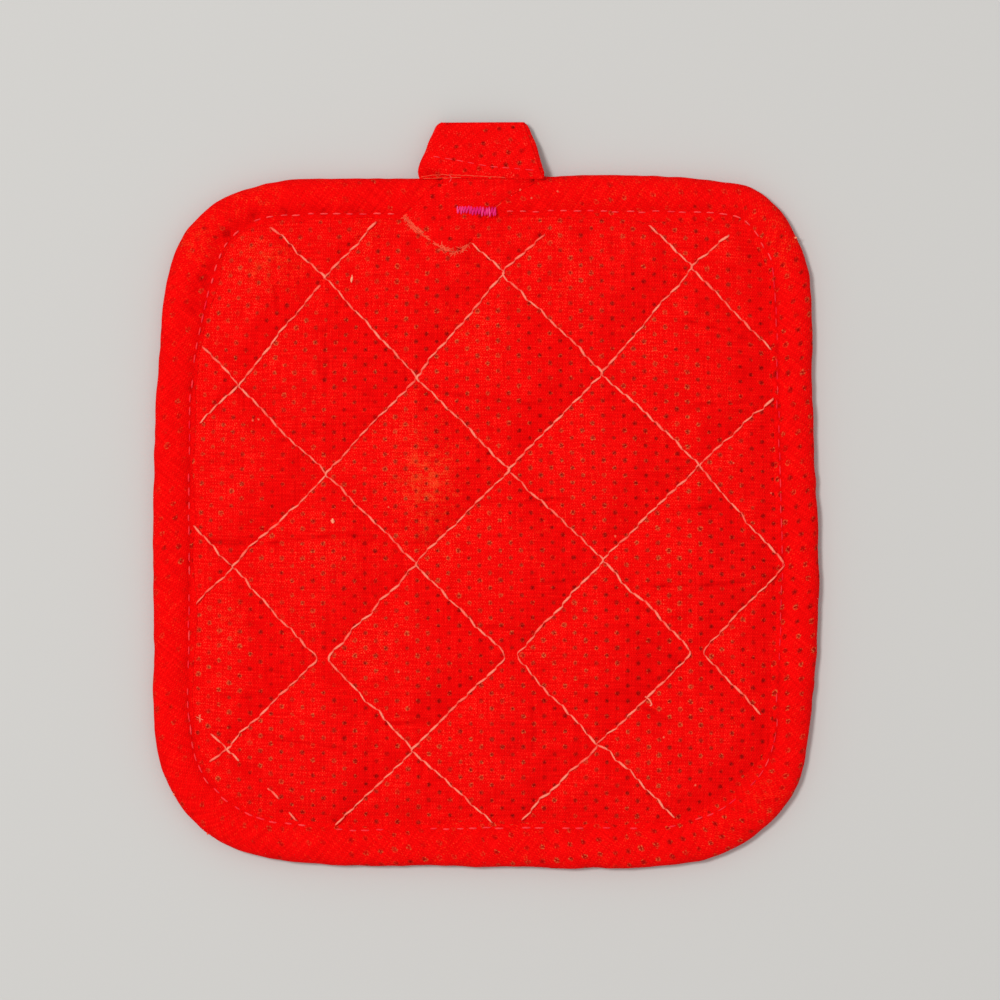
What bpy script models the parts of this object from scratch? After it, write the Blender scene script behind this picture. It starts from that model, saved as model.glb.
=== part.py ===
"""A square quilted pot holder lying face up, with a bound edge and a flat folded hanging loop.

Metres, +Z up, +Y towards the hanging loop, +X to the right as the face is seen from above. The
origin is under the middle of the whole outline, on the surface that the pot holder lies on. The
sizes and tables below are in millimetres, and new_piece turns them into metres.
"""

import math

import bmesh
import bpy
import numpy as np
from mathutils import Vector
from mathutils.geometry import delaunay_2d_cdt

METRES_PER_MM = 0.001

PANEL_RED = (0.80, 0.012, 0.009)
BINDING_RED = (0.82, 0.010, 0.008)
LOOP_RED = (0.84, 0.012, 0.010)
COTTON_ROUGHNESS = 0.85
SHARP_ANGLE = math.radians(50.0)

# The bound edge seen from above: where the sides would meet, and how round each corner is
CORNERS = (
    # name, x, y, radius
    ("bottom left", -82.9, -92.6, 35.5),
    ("bottom right", 82.6, -93.3, 39.0),
    ("top right", 81.9, 79.5, 29.0),
    ("top left", -81.9, 79.1, 34.0),
)

# Swells and dents of that edge, each fading out over its reach
SWELLS = (
    # x, y, outwards, reach
    (-54.0, -92.0, -1.2, 12.0),
    (-2.5, -92.9, -0.6, 5.0),
    (21.0, -93.0, 0.5, 7.0),
    (47.0, -93.0, -0.5, 9.0),
    (81.8, -61.0, -1.3, 9.0),
    (82.3, -17.0, 1.0, 17.0),
    (82.0, 51.0, -0.8, 12.0),
    (70.0, 74.0, 0.7, 9.0),
    (56.5, 79.3, -0.6, 6.0),
    (30.0, 79.4, 0.75, 18.0),
    (-60.0, 77.5, -0.6, 9.0),
    (-81.5, 49.0, -1.4, 13.0),
    (-82.4, -8.0, 0.7, 30.0),
)
STATIONS = 92             # places along the edge where its sections stand
ARC_STEPS = 12            # steps of one corner's arc
FINE_STATIONS = 368       # places used for measuring how far inside the edge a point lies

# Where the quilting lines cross, in rows A to F from the top
CROSSINGS = {
    # name: (x, y)
    "A1": (-40.0, 54.4), "A2": (4.7, 55.4), "A3": (51.6, 56.9),
    "B1": (-61.5, 27.2), "B2": (-17.1, 29.4), "B3": (29.4, 30.5),
    "C1": (-39.6, 5.2), "C2": (6.0, 6.2), "C3": (53.5, 7.5),
    "D1": (-63.1, -17.9), "D2": (-17.4, -17.2), "D3": (29.4, -16.2), "D4": (75.0, -17.2),
    "E1": (-40.6, -40.8), "E2": (6.4, -40.3), "E3": (53.2, -39.4),
    "F1": (-64.6, -63.4), "F2": (-18.2, -63.7), "F3": (28.0, -62.5),
}
OPEN_ROW = "E"            # in this row the seams turn back without meeting
OPEN_ROW_GAP = 4.0

# The zigzag seams, from the top of the pad down to its bottom or side
SEAMS = (
    # first end, crossings on the way, last end
    ((-53.5, 67.2), "A1 B1 C1 D1 E1 F1", (-47.0, -81.9)),
    ((-26.9, 68.1), "A1 B2 C1 D2 E1 F2", (-37.5, -82.5)),
    ((-3.2, 63.1), "A2 B2 C2 D2 E2 F2", (1.9, -81.9)),
    ((15.0, 65.2), "A2 B3 C2 D3 E2 F3", (9.1, -81.2)),
    ((41.0, 67.5), "A3 B3 C3 D3 E3 F3", (47.5, -80.6)),
    ((61.0, 65.0), "A3", (71.5, 36.2)),
    ((71.9, 24.4), "C3 D4 E3", (69.1, -54.7)),
    ((-70.6, 37.2), "B1", (-71.5, 18.1)),
    ((-72.7, -7.5), "D1", (-71.2, -26.2)),
    ((-68.4, -59.4), "F1", (-68.7, -66.9)),
)

# The panel's face: level under the binding, and the rise of each diamond between its seams
RIM_FACE = (
    # distance inside the edge, height
    (2.4, 3.5),
    (4.4, 4.4),
    (8.6, 3.8),
    (11.0, 3.8),
    (13.4, 5.2),
)
PUFF_RISE = 2.8
PUFF_REACH = 15.0         # distance from a seam at which a diamond reaches its full height
PUFF_FULLNESS = 2.3
PUFF_START = 12.0         # distance inside the edge at which the rise begins

# The panel's underside: raised over the binding, flat on the surface, drawn up at the seams
RIM_BACK = (
    # distance inside the edge, height
    (2.4, 1.8),
    (4.4, 1.4),
    (11.2, 1.4),
    (13.4, 0.0),
)
CHANNEL_UNDER = 1.1
CHANNEL_UNDER_REACH = 5.0

# Spacing of the panel's points
SEAM_STEP = 4.2
SHOULDER_OFFSET = 2.4     # rows of points on both sides of a seam
SHOULDER_CLEAR = 2.2      # and no nearer than this to another seam
FILL_STEP = 6.2
FILL_SPAN = 90.0          # half the square that the lattice covers before it is trimmed
FILL_CLEAR = 4.4          # fill points keep this far from the seams
POINT_CLEAR = 1.7         # no two points lie closer than this
INSIDE_TRIANGLES = 1      # the triangulation keeps only what the rim encloses
SAME_POINT = 1e-4

# The binding's section, along the middle of its folded cloth
BINDING_SECTION = (
    # distance inside the edge, height
    (10.6, 0.5),
    (6.0, 0.5),
    (2.2, 0.7),
    (0.9, 1.5),
    (0.5, 2.8),
    (0.9, 4.2),
    (2.2, 5.2),
    (4.6, 5.55),
    (7.4, 5.1),
    (9.2, 4.65),
    (10.6, 4.85),
)
BINDING_THICKNESS = 1.0

# The loop: one tape folded twice, from its start at the bound edge to its raw end on the face
LOOP_THICKNESS = 1.0
LAYER_PITCH = 1.45
LOOP_COLUMNS = 6
# rows across the tape: outer edge (x, y), inner edge (x, y)
LOOP_START = ((3.8, 80.9), (-14.6, 80.6))
LEFT_CREASE = ((-9.6, 92.4), (-14.9, 81.6))
RIGHT_CREASE = ((9.3, 92.4), (13.0, 78.6))
LEFT_FOLD_BULGE = 1.3
RIGHT_FOLD_BULGE = 0.75
FLAP = (
    # outer edge x, y, inner edge x, y, bow of the row towards the raw end
    (-3.8, 84.0, 4.6, 73.7, 0.0),
    (-12.2, 77.4, 0.8, 69.6, 1.4),
    (-20.3, 70.3, -4.0, 63.3, 4.6),
)
UNDER_PASS_LEVEL = (
    # distance outside the edge, height
    (0.0, 3.0),
    (13.5, 1.0),
)
FLAP_LEVEL = (
    # distance inside the edge, height
    (-13.5, 2.5),
    (-9.0, 3.4),
    (-4.5, 5.0),
    (-1.0, 6.3),
    (2.0, 6.95),
    (5.0, 7.0),
    (9.0, 6.3),
    (13.4, 6.4),
)
FLAP_ABOVE_FACE = 1.0     # middle of the flap over the panel's face
FLAP_BRIDGE = 1.8         # the flap spans dips in the face narrower than twice this
RUN_ROWS = 6              # rows along each pass of the tape
FOLD_ROWS = 6             # rows round each fold
FLAP_ROWS = 13


def smooth_step(share):
    """Ease from 0 to 1 with level ends."""
    share = np.clip(share, 0.0, 1.0)
    return share * share * (3.0 - 2.0 * share)


def resample(path, count):
    """Evenly spaced points along a closed path."""
    closed = np.vstack([path, path[:1]])
    along = np.r_[0.0, np.cumsum(np.linalg.norm(np.diff(closed, axis=0), axis=1))]
    wanted = np.linspace(0.0, along[-1], count, endpoint=False)
    return np.column_stack([np.interp(wanted, along, closed[:, axis]) for axis in (0, 1)])


def outward_normals(path):
    """Outward unit normals of a closed anticlockwise path."""
    tangent = np.roll(path, -1, axis=0) - np.roll(path, 1, axis=0)
    tangent /= np.linalg.norm(tangent, axis=1)[:, None]
    return np.column_stack([tangent[:, 1], -tangent[:, 0]])


def bound_edge(count):
    """The outer edge of the binding seen from above, as points and outward normals."""
    points = []
    for index, (_, x, y, radius) in enumerate(CORNERS):
        corner = np.array((x, y))
        before = corner - np.array(CORNERS[index - 1][1:3])
        after = np.array(CORNERS[(index + 1) % len(CORNERS)][1:3]) - corner
        before /= np.linalg.norm(before)
        after /= np.linalg.norm(after)
        turn = math.atan2(before[0] * after[1] - before[1] * after[0], before @ after)
        inwards = np.array((-before[1], before[0]))
        centre = corner - before * radius * math.tan(turn / 2) + inwards * radius
        first = math.atan2(-inwards[1], -inwards[0])
        for step in range(ARC_STEPS + 1):
            angle = first + turn * step / ARC_STEPS
            points.append(centre + radius * np.array((math.cos(angle), math.sin(angle))))
    path = resample(np.array(points), count)
    normals = outward_normals(path)
    shift = np.zeros(count)
    for x, y, outwards, reach in SWELLS:
        shift += outwards * np.exp(-((path - (x, y)) ** 2).sum(axis=1) / reach ** 2)
    path = path + normals * shift[:, None]
    return path, outward_normals(path)


def distance_to_path(points, path, closed):
    """Distance from each point to a path of straight steps."""
    ends = np.roll(path, -1, axis=0) if closed else path[1:]
    starts = path if closed else path[:-1]
    step = ends - starts
    offset = points[:, None, :] - starts[None, :, :]
    share = (offset * step).sum(axis=2) / (step * step).sum(axis=1)
    gap = offset - np.clip(share, 0.0, 1.0)[:, :, None] * step
    return np.sqrt((gap * gap).sum(axis=2).min(axis=1))


FINE_EDGE, FINE_NORMALS = bound_edge(FINE_STATIONS)


def inside_edge(points):
    """How far each point lies inside the bound edge, negative outside it."""
    distance = distance_to_path(points, FINE_EDGE, closed=True)
    offset = points[:, None, :] - FINE_EDGE[None, :, :]
    nearest = (offset * offset).sum(axis=2).argmin(axis=1)
    rows = np.arange(len(points))
    outwards = (offset[rows, nearest] * FINE_NORMALS[nearest]).sum(axis=1)
    return np.where(outwards > 0.0, -distance, distance)


def seam_paths():
    """The quilting lines as paths of straight runs, turned back early in the open row."""
    paths = []
    for first, crossings, last in SEAMS:
        names = crossings.split()
        path = np.array([first, *(CROSSINGS[name] for name in names), last])
        for index, name in enumerate(names, start=1):
            if name.startswith(OPEN_ROW):
                side = np.sign(2.0 * path[index, 0] - path[index - 1, 0] - path[index + 1, 0])
                path[index, 0] -= side * OPEN_ROW_GAP / 2
        paths.append(path)
    return paths


SEAM_PATHS = seam_paths()


def distance_to_seams(points):
    """Distance from each point to the nearest quilting line."""
    return np.min([distance_to_path(points, path, closed=False) for path in SEAM_PATHS], axis=0)


def face_height(points):
    """Height of the panel's face: low under the binding and at the seams, puffed between them."""
    inside = inside_edge(points)
    base = np.interp(inside, *zip(*RIM_FACE))
    reach = np.minimum(distance_to_seams(points), inside - PUFF_START) / PUFF_REACH
    return base + PUFF_RISE * (1.0 - (1.0 - np.clip(reach, 0.0, 1.0)) ** PUFF_FULLNESS)


def back_height(points):
    """Height of the panel's underside: on the surface, but for the rim and the seams."""
    rim = np.interp(inside_edge(points), *zip(*RIM_BACK))
    drawn_up = 1.0 - smooth_step(distance_to_seams(points) / CHANNEL_UNDER_REACH)
    return np.maximum(rim, CHANNEL_UNDER * drawn_up)


def along_path(path, step):
    """Points about one step apart along an open path, with the directions there."""
    points, directions = [], []
    for start, end in zip(path[:-1], path[1:]):
        run = end - start
        length = np.linalg.norm(run)
        steps = max(1, round(length / step))
        for index in range(steps + 1):
            points.append(start + run * index / steps)
            directions.append(run / length)
    return np.array(points), np.array(directions)


def panel_points():
    """Rings round the rim, rows along the seams, and a lattice in the middle of each diamond."""
    path, normals = bound_edge(STATIONS)
    rings = [path - normals * inside for inside, _ in RIM_FACE]
    seams, shoulders = [], []
    for seam in SEAM_PATHS:
        on_seam, directions = along_path(seam, SEAM_STEP)
        sideways = np.column_stack([-directions[:, 1], directions[:, 0]]) * SHOULDER_OFFSET
        seams.append(on_seam)
        shoulders += [on_seam + sideways, on_seam - sideways]
    span = np.arange(-FILL_SPAN, FILL_SPAN, FILL_STEP)
    rows = [np.column_stack([span + (index % 2) * FILL_STEP / 2, np.full(len(span), y)])
            for index, y in enumerate(span)]
    fill = np.vstack(rows)
    fill = fill[distance_to_seams(fill) > FILL_CLEAR]
    shoulder = np.vstack(shoulders)
    shoulder = shoulder[distance_to_seams(shoulder) > SHOULDER_CLEAR]
    innermost = RIM_FACE[-1][0]
    kept = list(np.vstack(rings))
    for points, clear in ((np.vstack(seams), POINT_CLEAR), (shoulder, POINT_CLEAR),
                          (fill, FILL_CLEAR)):
        for point in points[inside_edge(points) > innermost + POINT_CLEAR]:
            if (((np.array(kept) - point) ** 2).sum(axis=1) > clear ** 2).all():
                kept.append(point)
    return np.array(kept), len(path)


def new_piece(name, bm, colour, collection):
    """An object of the shape, which is in millimetres, with its own cloth material."""
    bmesh.ops.recalc_face_normals(bm, faces=bm.faces)
    bmesh.ops.scale(bm, vec=Vector.Fill(3, METRES_PER_MM), verts=bm.verts)
    mesh = bpy.data.meshes.new(name)
    bm.to_mesh(mesh)
    bm.free()
    mesh.shade_smooth()
    mesh.set_sharp_from_angle(angle=SHARP_ANGLE)
    material = bpy.data.materials.new(name)
    material.use_nodes = True
    shader = material.node_tree.nodes["Principled BSDF"]
    shader.inputs["Base Color"].default_value = (*colour, 1.0)
    shader.inputs["Roughness"].default_value = COTTON_ROUGHNESS
    shader.inputs["Metallic"].default_value = 0.0
    mesh.materials.append(material)
    piece = bpy.data.objects.new(name, mesh)
    collection.objects.link(piece)
    return piece


def folded_sheet(name, grid, closed, thickness, colour, collection):
    """A cloth sheet through rows and columns of points, thickened on both of its sides."""
    bm = bmesh.new()
    rows = [[bm.verts.new(point) for point in row] for row in grid]
    following = rows[1:] + rows[:1] if closed else rows[1:]
    for here, there in zip(rows, following):
        for column in range(len(here) - 1):
            bm.faces.new((here[column], there[column], there[column + 1], here[column + 1]))
    piece = new_piece(name, bm, colour, collection)
    thicken = piece.modifiers.new("cloth thickness", "SOLIDIFY")
    thicken.thickness = thickness * METRES_PER_MM
    thicken.offset = 0.0
    thicken.use_even_offset = True
    return piece


def quilted_panel(collection):
    """The filled panel: one closed solid, its edge tucked inside the binding."""
    points, ring = panel_points()
    rim = [(index, (index + 1) % ring) for index in range(ring)]
    corners = [Vector(point) for point in points]
    flat, _, triangles, *_ = delaunay_2d_cdt(corners, rim, [], INSIDE_TRIANGLES, SAME_POINT)
    bm = bmesh.new()
    verts = [bm.verts.new((*point, 0.0)) for point in flat]
    for triangle in triangles:
        bm.faces.new([verts[index] for index in triangle])
    copied = bmesh.ops.extrude_face_region(bm, geom=bm.faces[:])["geom"]
    face_verts = [item for item in copied if isinstance(item, bmesh.types.BMVert)]
    for layer, height in ((verts, back_height), (face_verts, face_height)):
        places = np.array([vert.co.xy for vert in layer])
        for vert, level in zip(layer, height(places)):
            vert.co.z = level
    return new_piece("quilted_panel", bm, PANEL_RED, collection)


def edge_binding(collection):
    """The bias tape, folded over the panel's edge and swept all the way round."""
    path, normals = bound_edge(STATIONS)
    inside = np.array([distance for distance, _ in BINDING_SECTION])
    levels = np.array([height for _, height in BINDING_SECTION])
    plan = path[:, None, :] - normals[:, None, :] * inside[None, :, None]
    grid = np.dstack([plan, np.broadcast_to(levels, plan.shape[:2])])
    return folded_sheet("edge_binding", grid, True, BINDING_THICKNESS, BINDING_RED, collection)


def flap_level(points):
    """Height of the tape's last pass: over the edge, over the binding, then on the panel's face."""
    inside = inside_edge(points)
    level = np.interp(inside, *zip(*FLAP_LEVEL))
    nearby = ((0.0, 0.0), (FLAP_BRIDGE, 0.0), (-FLAP_BRIDGE, 0.0),
              (0.0, FLAP_BRIDGE), (0.0, -FLAP_BRIDGE))
    face = np.max([face_height(points + shift) for shift in nearby], axis=0)
    on_face = inside > FLAP_LEVEL[-1][0]
    return np.where(on_face, np.maximum(level, face + FLAP_ABOVE_FACE), level)


def top_level(points):
    """Height of the tape's top pass, one layer above its last pass."""
    return flap_level(points) + LAYER_PITCH


def under_level(points):
    """Height of the tape's first pass, which leaves the edge at half its height."""
    return np.interp(-inside_edge(points), *zip(*UNDER_PASS_LEVEL))


def across(row, bow):
    """Points across the tape between its two edges, the middle bowed along the tape."""
    outer, inner = row
    share = np.linspace(0.0, 1.0, LOOP_COLUMNS + 1)[:, None]
    width = inner - outer
    along = np.array((width[1], -width[0])) / np.linalg.norm(width)
    return outer + width * share + along * bow * (1.0 - (2.0 * share - 1.0) ** 2)


def flat_pass(first, last, level):
    """Rows of the tape where it lies flat between two rows."""
    rows = []
    for share in np.linspace(0.0, 1.0, RUN_ROWS + 1):
        points = across(first + (last - first) * share, 0.0)
        rows.append(np.column_stack([points, level(points)]))
    return rows


def fold(crease, outwards, bulge, level, next_level):
    """Rows of the tape round a fold that bulges sideways from one level to the next."""
    edge = crease[0] - crease[1]
    sideways = np.array((edge[1], -edge[0])) / np.linalg.norm(edge) * outwards
    rows = []
    for angle in np.linspace(0.0, math.pi, FOLD_ROWS + 1)[1:-1]:
        flat = across(crease, 0.0)
        mix = (1.0 - math.cos(angle)) / 2.0
        height = level(flat) * (1.0 - mix) + next_level(flat) * mix
        rows.append(np.column_stack([flat + sideways * bulge * math.sin(angle), height]))
    return rows


def flap_pass(crease):
    """Rows of the tape from its last fold down to the raw end on the pad's face."""
    stations = [(*crease[0], *crease[1], 0.0), *FLAP]
    table = np.array([stations[0], *stations, stations[-1]])
    rows = []
    for share in np.linspace(0.0, len(FLAP), FLAP_ROWS + 1):
        first = min(int(share), len(FLAP) - 1)
        before, here, there, after = table[first:first + 4]
        part = share - first
        value = here + 0.5 * part * (there - before + part * (
            2.0 * before - 5.0 * here + 4.0 * there - after + part * (
                3.0 * (here - there) + after - before)))
        points = across(value[:4].reshape(2, 2), value[4])
        rows.append(np.column_stack([points, flap_level(points)]))
    return rows


def hanging_loop(collection):
    """One tape: under the tab, back across its top, then down over the pad's face."""
    start, left, right = (np.array(row) for row in (LOOP_START, LEFT_CREASE, RIGHT_CREASE))
    grid = flat_pass(start, left, under_level)
    grid += fold(left, -1.0, LEFT_FOLD_BULGE, under_level, top_level)
    grid += flat_pass(left, right, top_level)
    grid += fold(right, 1.0, RIGHT_FOLD_BULGE, top_level, flap_level)
    grid += flap_pass(right)
    grid = np.array(grid)
    return folded_sheet("hanging_loop", grid, False, LOOP_THICKNESS, LOOP_RED, collection)


def make_object():
    """Clear the scene and model the pot holder's three pieces in one collection."""
    for old in list(bpy.data.objects):
        bpy.data.objects.remove(old)
    collection = bpy.data.collections.new("pot_holder")
    bpy.context.scene.collection.children.link(collection)
    quilted_panel(collection)
    edge_binding(collection)
    hanging_loop(collection)


make_object()
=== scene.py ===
"""The looks of the quilted pot holder: puffed cloth, bias binding, folded loop, threads, light and camera.

Shapes are worked out in millimetres in the frame of the CAD part, and new_piece turns them into
metres. The quilting lines, the bound edge and the loop lie within a millimetre of the CAD part's.
"""

import math

import bpy
import numpy as np
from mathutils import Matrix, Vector
from mathutils.bvhtree import BVHTree
from mathutils.geometry import delaunay_2d_cdt


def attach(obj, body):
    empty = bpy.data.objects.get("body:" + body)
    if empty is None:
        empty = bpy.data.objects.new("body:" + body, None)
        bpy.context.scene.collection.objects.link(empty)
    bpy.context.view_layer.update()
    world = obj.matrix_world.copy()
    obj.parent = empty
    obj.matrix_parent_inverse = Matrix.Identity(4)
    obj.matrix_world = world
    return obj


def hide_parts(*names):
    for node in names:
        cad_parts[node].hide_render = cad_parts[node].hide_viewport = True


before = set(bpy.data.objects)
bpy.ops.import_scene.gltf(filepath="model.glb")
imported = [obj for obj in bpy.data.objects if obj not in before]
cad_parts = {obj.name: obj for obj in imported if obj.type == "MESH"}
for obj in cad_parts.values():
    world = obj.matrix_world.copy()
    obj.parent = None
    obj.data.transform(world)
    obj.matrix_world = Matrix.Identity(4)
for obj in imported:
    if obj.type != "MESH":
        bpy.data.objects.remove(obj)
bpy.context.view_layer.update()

METRES_PER_MM = 0.001
RANDOM = np.random.default_rng(20)
TINY = 1e-12

# ---------------------------------------------------------------- where things are, in millimetres

# The bound edge seen from above: rounded corners, then soft swells and dents of its line
CORNERS = (
    # x, y, radius
    (-82.9, -92.6, 35.5), (82.6, -93.3, 39), (81.9, 79.5, 29), (-81.9, 79.1, 34),
)
SWELLS = (
    # x, y, reach, how far outwards
    (-54, -92, 12, -1.2), (0, -93, 3, 0.25), (-13.5, -93, 4, -0.3), (21, -93, 7, 0.5),
    (35.5, -93, 5, 0.5), (47, -93, 9, -0.4), (81.8, -61, 9, -1.3), (82.3, -49, 7, -0.35),
    (82.3, -17, 17, 1.2), (83, -14.5, 4.5, -0.45), (82.4, -12, 24, 0.35), (81, -40, 10, 0.4),
    (74, -72, 17, 0.6), (82, 54, 10, -0.5), (81.8, 29, 5, -0.4), (78, 63.5, 5, -0.35), (70, 74, 9, 0.5),
    (66.5, 75.4, 5, 0.4), (56.5, 79.3, 6, -0.6), (30, 79.4, 18, 0.75), (-60, 77.5, 9, -0.5),
    (-54.5, 78, 5, -0.35), (-64, 70.5, 6, 0.35), (-77, 55.5, 5, -0.35), (-81, 34, 6, -0.35),
    (-81.5, 49, 13, -1.4), (-82.4, -8, 30, 0.7), (-82.5, -49, 5, 0.45),
)
ARC_STEPS = 40
TAPE_JOIN = (-7.0, 79.3)  # the tape's ends meet under the loop
STATIONS = 640            # places along the edge where the binding's sections stand
SEAM_SEARCH = (5.0, 15.0, 0.1)  # the binding's seam runs between these distances inside the edge
SEAM_SMOOTHING = 7        # stations on both sides over which its distance is smoothed
RIPPLE_WAVES = 14
RIPPLES = {
    # what it moves or colours: how much, its wavelength and its seed
    "crease depth": (0.25, 5, 3), "face": (0.05, 4, 5), "face fade": (0.05, 16, 11),
    "fine face fade": (0.04, 6, 12), "face ink": (0.07, 14, 13), "lip": (0.6, 26, 31),
    "fine lip": (0.4, 9, 32), "shoulder": (1, 13, 33), "tape": (0.08, 8, 34), "rim": (0.07, 6, 35),
    "binding ink": (0.18, 24, 36), "binding fade": (0.05, 18, 37), "fine binding fade": (0.04, 5, 38),
    "loop": (0.05, 6, 41), "loop fade": (0.04, 5, 42), "loop ink": (0.2, 9, 43), "fold": (0.10, 6, 44),
}
BATCH = 4000              # points handled at once
ABOVE_ALL = 60.0          # a height over every surface

# The line of stitches that holds the binding, all the way round
BINDING_SEAM = (
    (-74.2, -50), (-73.9, -20), (-73.8, 18), (-72.2, 36), (-69.6, 48.5), (-67.3, 56.5), (-65.2, 61.8),
    (-61.6, 65.9), (-56.4, 68.9), (-48, 70), (-36, 70.3), (-21, 70.2), (-5, 70.6), (5.5, 70.8),
    (25, 70.9), (51, 70.7), (61.5, 69.9), (66.2, 67.2), (70.4, 60.8), (72.3, 52.5), (73.1, 23.8),
    (74.2, -13.5), (73.9, -30), (73.1, -50), (72.6, -60), (69.6, -68.6), (63.4, -75.2), (56.2, -79.8),
    (43.7, -83.1), (25, -83.2), (-8, -83.3), (-33.8, -83.6), (-49, -82.2), (-57.5, -80.4),
    (-64.3, -76.4), (-68.8, -72.3), (-71.4, -68), (-73, -62.5), (-73.7, -57),
)

# Where the quilting lines cross, in rows A to F from the top
CROSSINGS = {
    "A1": (-40, 54.4), "A2": (4.7, 55.4), "A3": (51.6, 56.9), "B1": (-61.5, 27.2), "B2": (-17.1, 29.4),
    "B3": (29.4, 30.5), "C1": (-39.6, 5.2), "C2": (6, 6.2), "C3": (53.5, 7.5), "D1": (-63.1, -17.9),
    "D2": (-17.4, -17.2), "D3": (29.4, -16.2), "D4": (75, -17.2), "E1": (-40.6, -40.8),
    "E2": (6.4, -40.3), "E3": (53.2, -39.4), "F1": (-64.6, -63.4), "F2": (-18.2, -63.7),
    "F3": (28, -62.5),
}
SEAMS = (
    # first end, crossings on the way, last end with any points before it
    ((-53.5, 67.2), "A1 B1 C1 D1 E1 F1", ((-61.3, -66.2), (-52.8, -74.4), (-46.9, -81.4))),
    ((-26.9, 68.1), "A1 B2 C1 D2 E1 F2", ((-37.5, -82.5),)),
    ((-3.2, 63.1), "A2 B2 C2 D2 E2 F2", ((1.9, -81.9),)),
    ((15, 65.2), "A2 B3 C2 D3 E2 F3", ((9.1, -81.2),)),
    ((41, 67.5), "A3 B3 C3 D3 E3 F3", ((30.7, -63.2), (32.6, -65.6), (47.5, -80.6))),
    ((61, 65), "A3", ((71.5, 36.2),)), ((71.9, 24.4), "C3 D4 E3", ((69.1, -54.7),)),
    ((-70.6, 37.2), "B1", ((-71.5, 18.1),)), ((-72.7, -7.5), "D1", ((-72.2, -27.2),)),
    ((-68.4, -59.4), "F1", ((-68.7, -66.9),)),
)
# How far apart two seams pass where they meet, and how widely each turns there
PASSING = {"E": (1.9, 2.2), "B1": (-0.1, 0.9), "D4": (0.0, 0.8)}
USUAL_PASSING = (-0.5, 0.7)
LOOSE_TURN = 0.9          # how widely a seam turns away from a crossing
TURN_STEPS = 7
# Stretches of quilting thread that lie buried in the cloth: middle x, y, reach
BURIED = (
    (-57.7, -69.7, 4.8), (-50.2, -77.6, 2), (-41, 53.4, 1.1), (43.2, 64.4, 0.6),
)

# Old creases in the pad's face, each a soft trough: points, depth, half width
CREASES = (
    (((52.5, 58.5), (57, 57.6), (62, 56.6), (67, 55.4)), 0.49, 0.47),
    (((-66, 26.4), (-57, 25.7), (-47.5, 25.4)), 0.46, 0.47),
    (((-17, 26.6), (-7, 24.8), (8, 23), (18, 22)), 0.49, 0.51),
    (((-72, 8.4), (-62, 7.6), (-52, 8.3), (-44, 7.4)), 0.32, 0.51),
    (((-72, -11.5), (-58, -12.4), (-46, -10.8), (-33, -10.1), (-24, -11.6)), 0.55, 0.55),
    (((-22, -12), (-14, -12.4), (-9, -11.8)), 0.52, 0.51),
    (((-19, -2.6), (-10, -2), (2, -1.6), (13, -1.4), (24, -0.9)), 0.43, 0.42),
    (((-1, -32.8), (6.5, -33.6), (13, -33.4)), 0.49, 0.42),
    (((12, -22.4), (20, -21.6), (28, -20.5)), 0.43, 0.51),
    (((37, -23), (50, -22.6), (62, -22.2), (70, -20.8)), 0.52, 0.51),
    (((45, 44), (55, 42.6), (64, 39.6), (69, 37.6)), 0.49, 0.51),
    (((51, 21.8), (60, 22.6), (70, 23.2)), 0.46, 0.47),
    (((47, -3.6), (55, -3.2), (61, -3.8)), 0.43, 0.51),
    (((-66, -57.5), (-54, -60.5), (-40, -62.6), (-30, -65)), 0.49, 0.55),
    (((-30, -56), (-22, -57.4), (-14, -56.6)), 0.49, 0.51),
    (((-71, -41.2), (-60, -43.6), (-49, -44.4)), 0.38, 0.51),
    (((-71, -49.5), (-59, -50.6), (-50, -49.6)), 0.38, 0.51),
    (((-72, -31.6), (-62, -32.4), (-52, -31.2)), 0.29, 0.51),
    (((-52.5, 64), (-52, 54), (-51, 46)), 0.32, 0.51),
    (((-40, 44), (-39.4, 34), (-39.8, 24)), 0.32, 0.59),
    (((15, 26.8), (24, 24.4), (33, 24)), 0.32, 0.51),
    (((-33, -20), (-28, -24.6), (-24, -29)), 0.32, 0.51),
    (((44, -30), (52, -31.6), (60, -30.6)), 0.29, 0.51),
    (((11, -49), (12.5, -58), (11.5, -66)), 0.38, 0.68),
    (((38, -52), (45, -55.6), (52, -57)), 0.35, 0.59),
)

# ---------------------------------------------------------------- the pad

FACE_FROM = 3.0           # cloth over this height shows on the face
SEAM_LEVEL = 5.05         # the pad's face along its quilting lines
PUFF_RISE = 2.4
PUFF_REACH = 15.0
PUFF_FULLNESS = 1.9
# The pad's face near the binding: distance inside the binding's seam, height
RIM_FACE = (
    (-6.8, 3.5), (-4.8, 4.3), (-2, 4.1), (-0.5, 3.65), (0.4, 3.65), (1.5, 3.95), (2.6, 4.3),
    (4.2, 4.65), (6.2, 4.95), (8, 5.05),
)
PUFF_START = 2.8
PUFF_FROM_RIM = 0.62      # the puff grows this much slower from the binding than from a seam
RIM_BACK = (
    # distance inside the bound edge, height of the underside
    (2.4, 1.8), (4.4, 1.4), (11.2, 1.4), (13.4, 0),
)
CHANNEL_UNDER = 1.1
CHANNEL_UNDER_REACH = 5.0
GROOVE_DEPTH = 0.17
GROOVE_REACH = 0.9
HOLE_DEPTH = 0.12
HOLE_REACH = 0.6
CREASE_ENDS = 4.0         # a crease fades out over this length at both ends
RIDGE = 0.45              # height of the ridges beside a crease, as a share of its depth
RIDGE_PLACE = 2.2         # how far out they lie, in half widths of the crease
QUILT_STITCH = 3.35
QUILT_STEPS = 8
QUILT_SLANT = (0.17, 0.06)  # usual sideways slant of a stitch and how much it varies
QUILT_DRIFT = 0.2
QUILT_RADIUS = (0.14, 0.125)  # at a stitch's ends, and how much more in its middle
QUILT_FATNESS = (0.74, 1.22)
QUILT_TIP = 0.1
QUILT_ROUNDNESS = 0.7
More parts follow.
